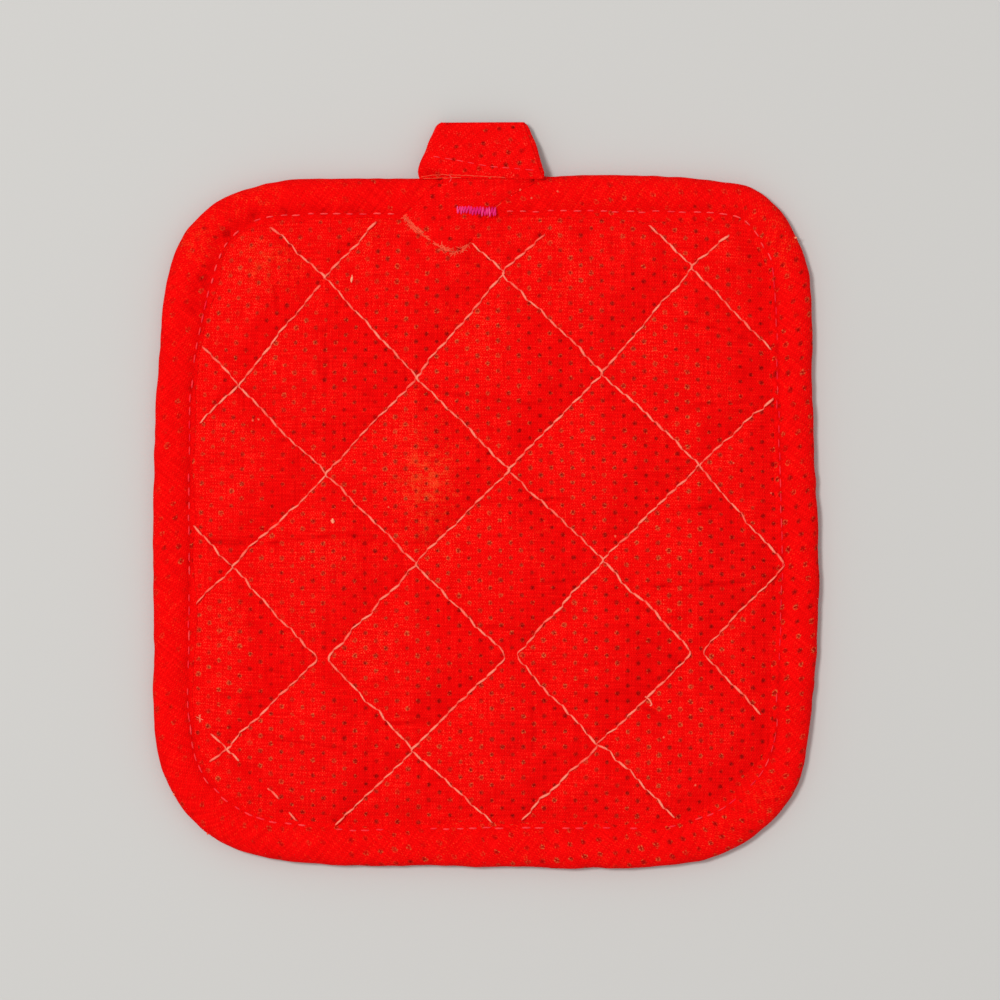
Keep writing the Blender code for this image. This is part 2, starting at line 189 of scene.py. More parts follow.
QUILT_SINK, QUILT_RISE = 0.05, 0.27
UNDER_RADIUS = 0.19       # the same thread on the underside
UNDER_LOWEST = 0.2
QUILT_NUB = ((40.0, -50.3), (41.0, -51.1), (41.6, -52.2), (41.2, -52.6))
THREAD_END_SINK = 0.2

FACE_RINGS = (2.4, 4.4, 6.6, 8.6, 10.0, 11.0, 12.0, 13.2)
FACE_SIDE_ROWS = (0.55, 1.15, 1.9, 2.8)
CREASE_SIDE_ROWS = (0.42, 0.85, 1.35)
CREASE_STEP = 0.8
CREASE_PAINTED_SHADE = 0.34      # painted shade: how much deeper the red of a crease is
SEAM_PAINTED_SHADE = 0.38        # painted shade along the binding's stitches, a deeper red, most at the pad's sides
SEAM_SHADE_REACH = 0.7
SIDES_FROM = 66.0
FACE_SEAM_STEP = 0.84
FACE_FILL_STEP = 1.3
BACK_RINGS = (2.4, 4.4, 7.8, 11.2, 13.4)
BACK_SIDE_ROWS = (1.3, 2.8)
BACK_SEAM_STEP = 1.7
BACK_FILL_STEP = 3.2
FILL_SPAN = 96.0
LATTICE_ROW = 0.87        # distance between rows of the fill, in its steps
# How near the points of each kind may come, in their own steps
CLEAR = {"rings": 0.55, "seams": 0.5, "sides": 0.55, "creases": 0.45, "fill": 0.62}
SAME_POINT = 1e-5
INSIDE_TRIANGLES = 1      # the triangulation keeps only what the rim encloses
RING_POINTS = 480

# Cloth simulation: the face swells between its seams. It runs on a mesh this much larger
SWELL_SCALE = 10.0
SWELL_FRAMES = 22
SWELL_START = 0.8         # share of the puff from which the cloth starts
SWELL_CAP = 1.5           # no point moves further
HELD_BESIDE_SEAM = 0.1    # the face is held this near to a seam
HELD_PAST_BINDING_SEAM = 2.2
SWELL_SETTINGS = {
    "quality": 5, "mass": 0.25, "air_damping": 3.0, "tension_stiffness": 25.0,
    "compression_stiffness": 25.0, "shear_stiffness": 12.0, "bending_stiffness": 0.6,
    "vertex_group_mass": "held", "use_pressure": True, "uniform_pressure_force": 1.4,
    "shrink_min": -0.028,  # the face cloth is this much too large for its shape
}

# ---------------------------------------------------------------- the binding

BINDING_BACK = (
    # distance inside the edge, height of the middle of the cloth
    (10.5, 0.46), (9.6, 0.44), (8.4, 0.46), (6.8, 0.48), (5, 0.5), (3.4, 0.56), (2.2, 0.7),
    (1.35, 1.02), (0.85, 1.5), (0.57, 2.15), (0.5, 2.8), (0.57, 3.45), (0.85, 4.15), (1.4, 4.75),
    (2.2, 5.2), (3.2, 5.47),
)
BINDING_FACE = (
    # share of the way to the seam, height
    (0.46, 5.6), (0.58, 5.56), (0.70, 5.4), (0.80, 5.12), (0.89, 4.72), (0.95, 4.36), (1, 4.12),
)
# The folded lip past the seam: distance past it, height of its middle over the pad's face
BINDING_LIP = (
    (0.45, 0.31), (0.85, 0.19), (1.3, 0.08),
)
BINDING_THICKNESS = 0.8
BINDING_FACE_FROM = 3.4   # tape over this height lies on the face
LIP_THICKNESS = 0.13
LIP_WIDTH = 1.5           # the tape thins towards its folded edge over this width
LIP_WANDER = 0.45
NARROWEST_LIP = 0.6       # times the usual width
# Where the lip is wider: place on the bound edge, reach, how many usual widths it gains
WIDE_LIPS = (
    (72, -80, 12, 2), (46, 79.4, 18, 1.3),
)
# Dents of the tape outside its seam, where it is gathered round the corners: x, y, reach, depth
PUCKERS = (
    (-71.6, 51, 1.3, 1.1), (-70.1, 54, 1.3, 1.4), (-68.6, 56.6, 1.1, 1), (-72.6, 46.6, 1.5, 0.8),
    (-66.6, 62.4, 1.3, 0.8), (-64.4, 65.4, 1.2, 1.4), (-61.8, 67.2, 1.2, 1), (-57.6, 69.8, 1.2, 1.1),
)
# The tape is drawn down beside its stitches and rises on a shoulder outside them
GATHER_DEPTH, GATHER_REACH = 0.16, 1.5
SHOULDER_RISE, SHOULDER_REACH, SHOULDER_OUT = 0.07, 2.2, 3.4
RIM_SPAN = (1.0, 4.8)     # heights between which the tape is the pad's rim
BINDING_STITCH = 3.32
STITCH_KINDS = {
    # how far its ends sink, its rise and roundness, its radius at the ends, how much more in its middle
    "binding": (0.18, 0.42, 0.6, 0.10, 0.09), "loop": (0.16, 0.28, 0.6, 0.07, 0.06),
    "tack": (0.25, 0.42, 1.0, 0.145, 0.045), "back": (-0.24, -0.12, 1.0, 0.10, 0.02),
}
STITCH_STRAY = 0.4        # of a stitch's start, in points of the seam
STITCH_LENGTHS = (0.82, 1.15)  # least and most, in usual lengths; the same for its thickness
STITCH_FATNESS = (0.8, 1.15)
TOP_FROM = 60.0           # heights on the pad where its top and bottom stretches begin
BOTTOM_TO = -78.0
CORNER_AT = (-60.0, 48.0)
STITCH_STEPS = 12         # points along the seam for each stitch
UNDER_FLAP = (-21.5, 5.0)  # no stitches show where the flap lies over the seam
# Share of the binding's stitches that can be seen, share of each that lies on top of the cloth,
# how thick it is and how deep its colour, in each stretch
STITCHES_SEEN = {
    "top": (0.95, 0.56, 1, 0.30), "corner": (0.80, 0.50, 1.15, 0.28), "left": (0.92, 0.68, 1, 0.66),
    "bottom": (0.75, 0.60, 1.2, 0.60), "right": (0.85, 0.72, 0.8, 0.80),
}
BINDING_BACK_SEAM = 9.0   # how far inside the edge it runs on the underside

# ---------------------------------------------------------------- the loop

LOOP_THICKNESS = 0.85
LAYER_PITCH = 1.1
# Along its inner edge the top pass dips to lie on the flap, and more at its left end
INNER_EDGE = (79.0, 82.0)
INNER_EDGE_DROP = 0.76
LEFT_END_DROP = 2.9
LEFT_END = -8.0
LOOP_COLUMNS = 22
LOOP_START = ((3.8, 80.9), (-14.6, 80.6))
LEFT_CREASE = ((-10.5, 92.9), (-16.1, 79.1))
RIGHT_CREASE = ((9.6, 93.0), (14.3, 78.9))
LEFT_FOLD_BULGE = 1.2
RIGHT_FOLD_BULGE = 0.75
FLAP = (
    # outer edge x, y, inner edge x, y, bow of the row towards the raw end
    (-3.8, 84, 4.6, 73.7, 0), (-12.2, 77.4, 0.8, 69.6, 1.4), (-20.4, 69.7, -4, 62.8, 4),
)
UNDER_PASS_LEVEL = ((0.0, 3.0), (13.5, 1.0))  # distance outside the edge, height
FLAP_LEVEL = (
    # distance inside the edge, height
    (-13.5, 2.5), (-9, 3.4), (-4.5, 5), (-1, 6.3), (2, 6.9), (5, 6.75), (9, 6), (13.4, 5.9),
)
FLAP_CLEAR = 0.46         # middle of the flap over whatever it lies on
FLAP_EDGE_CLEAR = 0.03    # the same along its two edges
FLAP_EDGE_SHARE = 0.14    # how much of its width an edge takes up
FLAP_FOLD_SHARE = 0.12    # how much of its length its fold takes up
FLAP_SOFTENINGS = 10      # how often its heights are smoothed, and how far that may lower them
FLAP_SOFTER = 0.12
FLAP_THINNER = 0.85
FLAP_DROP = 1.8           # how far its edges may drop below its usual level, its middle half of that
LOOP_CAP = 0.2
LOOP_EDGE_SHARE = 0.12
LOOP_BEAD = (0.13, 0.07)  # a soft bead along both edges: place and reach, as shares of the width
UNDER_PASS, LEFT_FOLD, TOP_PASS, RIGHT_FOLD, FLAP_PASS = range(5)
RUN_ROWS = 26
FOLD_ROWS = 12
FLAP_ROWS = 46
LOOP_STITCH = 3.0
LOOP_STITCH_ENDS = (0.62, 0.85)  # where the thread dives in again, as shares of a stitch
LOOSE_END = ((-9.0, 79.9), (-8.5, 79.3), (-8.4, 78.8), (-8.9, 78.0))
LOOP_SEAM = ((-13.1, 84.5), (-6.0, 83.3), (0.5, 82.0), (6.0, 81.5), (12.7, 80.9))
TACK = ((-7.0, 71.3), (2.8, 70.7))
TACK_HEIGHT = 2.3
TACK_STROKES = 27
TACK_STRAY = (-0.45, 0.45)  # of a stroke's place, in strokes
TACK_REACH = (0.7, 1.15)  # least and most, in half heights
TACK_LIFT = 0.12          # every other stroke lies this much higher
TACK_UNEVEN = (-0.05, 0.08)
FRAYED_END = (
    (-20.3, 69.7), (-18.3, 67.3), (-16.1, 65.4), (-14.3, 64), (-12.6, 62.8), (-10.2, 61.3),
    (-8.3, 60.6), (-6.7, 60.9), (-5.3, 61.5), (-4, 62.8),
)

# How pale the cloth is along parts of its raw end: first and last point of the part, share
FRAYED_PARTS = (
    (0, 4, 0.80), (5, 7, 0.25), (7, 10, 0.40),
)
FRAYS = (
    # stretch of the raw end from and to, loose threads, width, how wildly they lie
    (0.00, 0.34, 60, 1.15, 0.14), (0.34, 0.60, 9, 0.3, 0.15), (0.58, 0.84, 34, 1.3, 0.6),
    (0.84, 1.00, 14, 0.9, 0.5),
)
FRAYED_REACH = 0.55
FRAY_LENGTH, FRAY_RADIUS = (0.7, 2.0), (0.08, 0.13)
FRAY_CURL, FRAY_RISE = 0.3, 0.12
# Worn threads along folds of the loop
WORN_FOLDS = (
    ((-16, 79.4), (-12.3, 79.9), (-3.8, 79.6), (5, 79.2)), ((-15.5, 79.1), (-11.9, 79.1), (-6, 79.1)),
    ((3.9, 72.9), (2, 70.9), (0.6, 69.3)),
)

LINT_STRANDS, LINT_THIN = 4, 0.10  # threads in each bit, and how thin all but the first are
LINT = (
    # x, y, length, width, turn in degrees, how deep its colour is
    (-33.2, 53.9, 1.9, 0.75, 75, 0), (-38, -6.5, 1.3, 0.90, 100, 0.1),
    (-57.9, 18.6, 0.6, 0.24, 160, 0.9), (-56.6, 18.9, 0.4, 0.20, 20, 0.9),
    (77.5, 64.2, 1.2, 0.45, 5, 0.2), (-77.6, -74.8, 0.8, 0.56, 20, 0.3),
    (-69.2, -84.6, 0.5, 0.35, 70, 0.9), (32.5, -10.2, 0.5, 0.28, 30, 0.9),
    (-24, -3, 0.5, 0.21, 110, 0.9), (8.8, 76.1, 0.6, 0.20, 40, 0.9), (11.6, 74.1, 0.5, 0.20, 30, 0.9),
    (18.1, 75.7, 0.6, 0.21, 120, 0.9), (-71.2, -55.8, 2.2, 0.16, 106, 0.6),
    (52.4, -72.3, 0.6, 0.28, 50, 0.9), (71.5, 0.5, 0.4, 0.24, 10, 0.9),
    (44.6, -60.4, 0.6, 0.21, 75, 0.9), (-21.5, -44, 0.4, 0.21, 20, 0.9), (62, 8, 0.4, 0.21, 140, 0.9),
)

# ---------------------------------------------------------------- colours, linear

CLOTH_RED = (0.86, 0.0008, 0.0010)
FADED_RED = (0.84, 0.046, 0.009)
# Random deeper patches, and painted shade in creases, dents and beside seams
DEEP_AND_SHADED_RED = (0.54, 0.0004, 0.0006)
# Pale thread tops: wear, and painted highlight on cloth that faces the light
RUBBED_AND_LIT_RED = (1.0, 0.105, 0.050)
INK_DARK = (0.10, 0.0015, 0.0012)
# Brownish dots: a little wear, mostly painted light where the cloth faces the light
INK_WORN_AND_LIT = (0.20, 0.024, 0.010)
INK_GLINT = (0.80, 0.17, 0.05)
THREAD_PALE = (1.0, 0.27, 0.175)
THREAD_DEEP = (0.95, 0.075, 0.05)
STITCH_PALE = (1.0, 0.082, 0.077)
STITCH_PINK = (0.95, 0.012, 0.032)
TACK_MAGENTA = (0.82, 0.014, 0.17)
TACK_PALE = (0.96, 0.09, 0.27)
FRAY_ORANGE = (1.0, 0.115, 0.055)
FRAY_DEEP = (1.0, 0.055, 0.025)
LINT_PALE = (0.98, 0.36, 0.20)
LINT_DEEP = (0.95, 0.10, 0.05)

# The weave repeats every two threads, across and up
WEAVE_REPEAT = (0.62, 0.98)
# The print: dots on a centred lattice, along the threads of the cloth
DOT_CELL = (5.2375, 3.75)
# Threads of the pad's cloth as sewn down, across and up: factors of 1, y, y², y³, x, xy, xy², x²,
# x²y and x³, with x and y as shares of the pad's half width
PAD_HALF = 80.0
PAD_ACROSS = (1.618, 1.066, -0.537, -0.893, 80.562, 1.730, 1.415, -1.191, -2.177, 0.182)
PAD_UP = (2.637, 80.512, 0.170, -0.832, -0.665, -0.361, 0.807, 0.512, 1.256, 1.465)
# Steps from dot to dot on the tape, along and across it, and on the tab, right and up
TAPE_STEPS = ((3.62, 0.45), (-0.25, 3.5))
TAB_STEPS = ((3.40, 0.45), (0.6, 3.2))
TAB_DOT = (-0.4, 87.8)
FLAP_DOT = (-8.7, 63.9)
FLAP_TURN = math.radians(93.0)  # how its print is turned and stretched
FLAP_PRINT = 1.03
# Towards the side the painted light comes from: cloth facing it gets painted highlights on thread tops and
# dots
PAINTED_LIGHT_FROM = (-0.55, 0.15, 0.82)
PAINTED_LIGHT_START, PAINTED_LIGHT_SPAN = 0.56, 0.42
DOT_WANDER, DOT_EDGES = 0.45, 2.2  # how uneven the dots' edges are, and how finely
DOT_RADIUS, DOT_UNEVEN = 0.50, 0.16
# Noise in the cloth: scale for each millimetre, detail and roughness
NOISES = {
    "grain": (2.7, 2, 0.6), "coarse": (0.55, 3, 0.6), "patch": (0.085, 3, 0.6), "specks": (2.4, 2, 0.6),
}
# Scales across and up the cloth: of thick and thin threads, and of worn streaks
SLUBS = ((3.2, 0.13, 1.0), (0.13, 2.1, 1.0))
WORN_STREAKS = (0.40, 0.62, 1.0)
PLY_TWIST = 1.1           # a thread's two plies turn once in this length
# Gloss, strength of the bump and its depth in metres
COTTON_GLOSS, COTTON_BUMP, COTTON_BUMP_DEPTH = 0.04, 0.8, 0.00012
THREAD_GLOSS, THREAD_BUMP, THREAD_BUMP_DEPTH = 0.06, 0.6, 0.0001

# Faded patches of the pad, and patches of painted shade: x, y, reach, strength (below 0 is painted shade,
# a deeper red)
FADES_AND_SHADE = (
    (-15, 1.5, 6, 0.26), (-15.5, 13, 8.5, 0.28), (-9, 5, 5, 0.16), (-15, -8, 6.5, 0.30),
    (-14, 2, 16, 0.12), (-55, 57.5, 8.5, 0.42), (-30, 62, 6, 0.18), (-1, 41, 9, 0.22),
    (18, 58, 10, 0.16), (-38, -15, 8, 0.19), (-62, -31, 9, 0.18), (-28, -36, 9, 0.14),
    (-60, 12, 7, 0.11), (48, 1, 9, 0.10), (-5, 58, 6, 0.10), (40, -46, 12, -0.20), (8, -62, 6, -0.15),
    (57, -12, 9, -0.15), (-42, 36, 8, -0.15), (24, -30, 9, -0.08),
)
# Where the loop's dots are worn away
LOOP_WEAR = (
    (-14, 82, 6, -0.6), (-2, 94, 5, -0.5), (-12, 92, 6, -0.4), (10, 79.5, 5, -0.3),
)
# Faded patches of the binding, and painted shade (below 0) in its dents round the corner and beside its
# seam
BINDING_FADES_AND_SHADE = (
    (-72, 66, 12, 0.26), (-55, 74, 9, 0.16), (-71.4, 51.4, 1.6, -0.55), (-70, 54.2, 1.5, -0.95),
    (-68.4, 56.8, 1.2, -0.50), (-72.6, 46.4, 1.6, -0.40), (-64.4, 65.4, 1.5, -0.95),
    (-61.6, 67.2, 1.3, -0.50), (-57.4, 69.9, 1.5, -0.80), (-50, 71, 1.8, -0.45),
    (-41, 71.2, 1.8, -0.40), (-33, 71.4, 2, -0.45), (74, 64, 10, 0.22), (35, 75, 22, 0.12),
    (0, -88, 40, 0.10), (70, -82, 16, 0.16),
)
# Where the dots are strong (above 0) or worn away (below 0): x, y, reach, strength
WEAR = (
    (-62, 60, 20, -0.19), (-40, 62, 16, -0.18), (-20, 62, 14, -0.12), (0, 60, 15, -0.15),
    (22, 60, 15, -0.15), (42, 62, 14, -0.12), (62, 58, 18, -0.19), (58, 34, 14, -0.11),
    (-60, 32, 14, -0.09), (-62, 12, 18, -0.14), (-60, -8, 18, -0.14), (-62, -32, 18, -0.19),
    (-40, -14, 15, -0.14), (-38, 14, 12, -0.09), (-38, -48, 14, -0.12), (-62, -70, 14, -0.17),
    (-18, -70, 14, -0.09), (20, -74, 16, -0.09), (56, -10, 14, 0.14), (40, -26, 14, 0.12),
    (22, 14, 16, 0.08), (40, -50, 14, 0.08), (10, -58, 10, 0.07),
)

# ---------------------------------------------------------------- stage, in metres

FLOOR_HALF = 2.0
FLOOR_BELOW = 0.0002
FLOOR_COLOUR = (0.56, 0.55, 0.53)
LIGHT_PLACE = (-0.58, 0.28, 1.92)
LIGHT_SIZE = 0.34
LIGHT_POWER = 22.6
SKY_STRENGTH = 0.615
VIEW_WIDTH = 0.250
VIEW_MIDDLE = (0.00375, -0.00125)
BOUND_EDGE_HEIGHT = 0.003
LENS, SENSOR = 200.0, 36.0  # millimetres


# ---------------------------------------------------------------- plane geometry


def smooth_step(share):
    """Ease from 0 to 1 with level ends."""
    share = np.clip(share, 0.0, 1.0)
    return share * share * (3.0 - 2.0 * share)


def bell(distance, reach):
    """A soft hump, 1 where the distance is 0."""
    return np.exp(-(distance / reach) ** 2)


def arch(count):
    """Half a wave in even steps, from 0 up to 1 and back."""
    return np.sin(math.pi * np.linspace(0.0, 1.0, count))


def unit(vectors):
    """Vectors brought to length 1."""
    return vectors / np.maximum(np.linalg.norm(vectors, axis=-1, keepdims=True), TINY)


def lengths_along(path):
    """Distance from the start of a path to each of its points."""
    return np.r_[0.0, np.cumsum(np.linalg.norm(np.diff(path, axis=0), axis=1))]


def place_at(path, along, where):
    """Points of a path, where its own points lie at the distances in along."""
    return np.stack([np.interp(where, along, column) for column in path.T], axis=-1)


def resample(path, count, closed=False):
    """Evenly spaced points along a path."""
    if closed:
        path = np.vstack([path, path[:1]])
    along = lengths_along(path)
    return place_at(path, along, np.linspace(0.0, along[-1], count, endpoint=not closed))


def outward_normals(path):
    """Outward unit normals of a closed anticlockwise path."""
    tangent = unit(np.roll(path, -1, axis=0) - np.roll(path, 1, axis=0))
    return np.column_stack([tangent[:, 1], -tangent[:, 0]])


def left_of(path):
    """Unit vectors to the left of an open path."""
    direction = unit(np.gradient(path, axis=0))
    return np.column_stack([-direction[:, 1], direction[:, 0]])


def blobs(points, table):
    """Sum of soft round patches."""
    total = np.zeros(len(points))
    for x, y, reach, strength in table:
        total += strength * np.exp(-((points - (x, y)) ** 2).sum(axis=1) / reach ** 2)
    return total


def bound_edge(count):
    """The outer edge of the binding seen from above, as points and outward normals."""
    points = []
    for index, (x, y, radius) in enumerate(CORNERS):
        corner = np.array((x, y))
        before = unit(corner - np.array(CORNERS[index - 1][:2]))
        after = unit(np.array(CORNERS[(index + 1) % len(CORNERS)][:2]) - corner)
        turn = math.atan2(before[0] * after[1] - before[1] * after[0], before @ after)
        inwards = np.array((-before[1], before[0]))
        centre = corner - before * radius * math.tan(turn / 2) + inwards * radius
        angles = math.atan2(-inwards[1], -inwards[0]) + turn * np.arange(ARC_STEPS + 1) / ARC_STEPS
        points += [centre + radius * np.array((math.cos(angle), math.sin(angle)))
                   for angle in angles]
    path = resample(np.array(points), count, closed=True)
    normals = outward_normals(path)
    first = ((path - TAPE_JOIN) ** 2).sum(axis=1).argmin()
    path, normals = np.roll(path, -first, axis=0), np.roll(normals, -first, axis=0)
    path = path + normals * blobs(path, SWELLS)[:, None]
    return path, outward_normals(path)


def on_curve(before, here, there, after, part):
    """The point a share of the way from here to there, on a smooth curve through all four."""
    return here + 0.5 * part * (there - before + part * (
        2.0 * before - 5.0 * here + 4.0 * there - after + part * (
            3.0 * (here - there) + after - before)))


def rounded(points, closed=False, step=0.5):
    """A smooth path through points, about one step between its own points."""
    points = np.asarray(points, dtype=float)
    count = len(points)
    found = []
    for index in range(count if closed else count - 1):
        near = index + np.array((-1, 0, 1, 2))
        near = near % count if closed else np.clip(near, 0, count - 1)
        before, here, there, after = points[near]
        steps = max(2, round(np.linalg.norm(there - here) / step))
        found += [on_curve(before, here, there, after, part) for part in np.arange(steps) / steps]
    if not closed:
        found.append(points[-1])
    return np.array(found)


def distance_to_path(points, path, closed=False):
    """Distance from each point to a path of straight steps."""
    ends = np.roll(path, -1, axis=0) if closed else path[1:]
    best = np.full(len(points), np.inf)
    for start, end in zip(path, ends):
        step = end - start
        offset = points - start
        share = np.clip(offset @ step / max(step @ step, TINY), 0.0, 1.0)
        gap = offset - share[:, None] * step
        best = np.minimum(best, (gap * gap).sum(axis=1))
    return np.sqrt(best)


def ripple(points, wavelength, seed):
    """A smooth random height between about -1 and 1, which changes over the wavelength."""
    chance = np.random.default_rng(seed)
    total = np.zeros(len(points))
    for _ in range(RIPPLE_WAVES):
        angle = chance.uniform(0.0, math.tau)
        size = chance.uniform(0.7, 1.4) / wavelength
        phase = chance.uniform(0.0, math.tau)
        total += np.sin(math.tau * size * (points[:, 0] * math.cos(angle)
                                           + points[:, 1] * math.sin(angle)) + phase)
    return total / math.sqrt(RIPPLE_WAVES)


def waves(name, points):
    """One of the named ripples, in its own size."""
    size, wavelength, seed = RIPPLES[name]
    return size * ripple(points, wavelength, seed)


EDGE, EDGE_NORMALS = bound_edge(STATIONS)
SEAM_RING = rounded(BINDING_SEAM, closed=True, step=1.0)


def seam_depths():
    """How far inside the edge the binding's seam runs, at each station."""
    depths = np.arange(*SEAM_SEARCH)
    found = []
    for point, normal in zip(EDGE, EDGE_NORMALS):
        line = point - normal * depths[:, None]
        gaps = ((line[:, None, :] - SEAM_RING[None, :, :]) ** 2).sum(axis=2).min(axis=1)
        found.append(depths[gaps.argmin()])
    found = np.array(found)
    window = np.hanning(2 * SEAM_SMOOTHING + 1)
    looped = np.r_[found[-SEAM_SMOOTHING:], found, found[:SEAM_SMOOTHING]]
    return np.convolve(looped, window / window.sum(), mode="valid")


SEAM_DEPTHS = seam_depths()


def inside_edge(points):
    """How far each point lies inside the bound edge, and the nearest station."""
    distances = np.empty(len(points))
    stations = np.empty(len(points), dtype=int)
    for first in range(0, len(points), BATCH):
        part = points[first:first + BATCH]
        gaps = ((part[:, None, :] - EDGE[None, :, :]) ** 2).sum(axis=2)
        near = gaps.argmin(axis=1)
        across = -((part - EDGE[near]) * EDGE_NORMALS[near]).sum(axis=1)
        far = np.sqrt(gaps[np.arange(len(part)), near])
        distances[first:first + BATCH] = np.where(across > 0.0, far, -far)
        stations[first:first + BATCH] = near
    return distances, stations


def quilting_paths():
    """The quilting lines as fine paths, each turning at its crossings."""
    paths = []
    for first, crossings, rest in SEAMS:
        names = crossings.split()
        passes = [PASSING.get(name, PASSING.get(name[0], USUAL_PASSING)) for name in names]
        path = np.array([first, *(CROSSINGS[name] for name in names), *rest])
        turned = path.copy()
        for index, (apart, _) in enumerate(passes, start=1):
            side = np.sign(2.0 * path[index, 0] - path[index - 1, 0] - path[index + 1, 0])
            turned[index, 0] -= side * apart / 2
        fine = [turned[0]]
        for index in range(1, len(turned) - 1):
            turn = passes[index - 1][1] if index <= len(names) else LOOSE_TURN
            before, here, after = turned[index - 1:index + 2]
            start, end = (here + unit(there - here) * turn for there in (before, after))
            for part in np.linspace(0.0, 1.0, TURN_STEPS):
                fine.append((1 - part) ** 2 * start + 2 * part * (1 - part) * here
                            + part ** 2 * end)
        fine.append(turned[-1])
        paths.append(np.array(fine))
    return paths


QUILTING = quilting_paths()
CREASE_PATHS = [rounded(crease, step=1.0) for crease, _, _ in CREASES]


def distance_to_quilting(points):
    """Distance from each point to the nearest quilting line."""
    return np.min([distance_to_path(points, path) for path in QUILTING], axis=0)


# ---------------------------------------------------------------- meshes


def new_piece(name, points, faces, fields):
    """A smooth mesh from points in millimetres, riding on the part, with its own named fields."""
    mesh = bpy.data.meshes.new(name)
    mesh.from_pydata((np.asarray(points) * METRES_PER_MM).tolist(), [], faces)
    mesh.shade_smooth()
    for label, values in fields.items():
        values = np.asarray(values, dtype=np.float32)
        kind, key = ("FLOAT", "value") if values.ndim == 1 else ("FLOAT_VECTOR", "vector")
        mesh.attributes.new(label, kind, "POINT").data.foreach_set(key, values.ravel())
    piece = bpy.data.objects.new(name, mesh)
    bpy.context.scene.collection.objects.link(piece)
    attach(piece, "root")
    return piece


def ring_faces(rows, columns, joined=False, first=0):
    """Faces of a grid whose rows are closed rings; joined is for a last row that meets the first."""
    faces = []
    for row in range(rows if joined else rows - 1):
        low, high = first + row * columns, first + (row + 1) % rows * columns
        for spot in range(columns):
            beside = (spot + 1) % columns
            faces.append([low + spot, low + beside, high + beside, high + spot])
    return faces


def light_facing(points, faces):
    """How much each point of a surface faces the painted light, from 0 to 1."""
    corners = np.array([(face[0], face[-2], face[-1]) for face in faces])
    one, two, three = (points[corners[:, index]] for index in range(3))
    across = np.cross(two - one, three - one)
    normals = np.zeros((len(points), 3))
    for index in range(3):
        np.add.at(normals, corners[:, index], across)
    return smooth_step((unit(normals) @ unit(np.array(PAINTED_LIGHT_FROM)) - PAINTED_LIGHT_START) / PAINTED_LIGHT_SPAN)


def printed(offsets, steps):
    """Places on the printed cloth, from places on a tape whose dots stand the given steps apart."""
    half = np.array(DOT_CELL) / 2
    dots_there = np.array((half, half * (1.0, -1.0)))
    on_cloth = offsets @ np.linalg.inv(np.array(steps)) @ dots_there[::-1]
    return np.column_stack([on_cloth, np.zeros(len(on_cloth))])


def tree_over(points, faces):
    """A search tree over a mesh in millimetres."""
    return BVHTree.FromPolygons([tuple(point) for point in points], faces)


def level_over(trees, x, y, missing=0.0):
    """Height of the highest of several surfaces over a place."""
    best = missing
    for tree in trees:
        hit, *_ = tree.ray_cast(Vector((x, y, ABOVE_ALL)), Vector((0.0, 0.0, -1.0)))
        if hit is not None:
            best = max(best, hit.z)
    return best


def levels_over(trees, line, missing=0.0):
    """The same over each point of a line."""
    return np.array([level_over(trees, x, y, missing) for x, y in line])


def thinned(candidates, kept, clear):
    """The candidates that keep a clear distance from each other and from kept points."""
    cells = {}
    for point in kept:
        cells.setdefault((int(point[0] // clear), int(point[1] // clear)), []).append(point)
    chosen = []
    for point in candidates:
        column, row = int(point[0] // clear), int(point[1] // clear)
        near = [other for across in (-1, 0, 1) for up in (-1, 0, 1)
                for other in cells.get((column + across, row + up), ())]
        if all((point[0] - other[0]) ** 2 + (point[1] - other[1]) ** 2 >= clear * clear
               for other in near):
            cells.setdefault((column, row), []).append(point)
            chosen.append(point)
    return np.array(chosen).reshape(-1, 2)


def rows_beside(path, step, offsets):
    """Points along a path, and rows of points beside it on both sides."""
    fine = resample(path, max(2, round(lengths_along(path)[-1] / step)) + 1)
    sideways = left_of(fine)
    return fine, [fine + sideways * offset * side for offset in offsets for side in (1, -1)]


def pad_layer(rings, seam_step, side_rows, fill_step, creases=()):
    """Points of one side of the pad and the triangles between them; the rim comes first."""
    pick = np.linspace(0, STATIONS, RING_POINTS, endpoint=False).astype(int)
    kept = np.vstack([EDGE[pick] - EDGE_NORMALS[pick] * inside for inside in rings])
    innermost = rings[-1] + CLEAR["rings"] * fill_step
    seams, sides, folds = [], [], [np.zeros((0, 2))]
    for path in QUILTING:
        fine, beside = rows_beside(path, seam_step, side_rows)
        seams.append(fine)
        sides += beside
    for path in creases:
        fine, beside = rows_beside(path, CREASE_STEP, CREASE_SIDE_ROWS)
        folds += [fine, *beside]
    seams, sides, folds = (np.vstack(parts) for parts in (seams, sides, folds))
    span = np.arange(-FILL_SPAN, FILL_SPAN, fill_step)
    fill = np.vstack([
        np.column_stack([span + (index % 2) * fill_step / 2, np.full(len(span), y)])
        for index, y in enumerate(np.arange(-FILL_SPAN, FILL_SPAN, fill_step * LATTICE_ROW))])
    sides = sides[distance_to_quilting(sides) > side_rows[0] * 0.9]
    fill = fill[distance_to_quilting(fill) > side_rows[-1] + 0.4 * fill_step]
    for points, clear in (
            (seams, CLEAR["seams"] * seam_step), (sides, CLEAR["sides"] * seam_step),
            (folds, CLEAR["creases"] * CREASE_STEP), (fill, CLEAR["fill"] * fill_step)):
        points = points[inside_edge(points)[0] > innermost]
        kept = np.vstack([kept, thinned(points, kept, clear)])
    rim = [(index, (index + 1) % RING_POINTS) for index in range(RING_POINTS)]
    flat, _, triangles, *_ = delaunay_2d_cdt(
        [Vector(point) for point in kept.tolist()], rim, [], INSIDE_TRIANGLES, SAME_POINT)
    return np.array([tuple(point) for point in flat]), [list(face) for face in triangles]


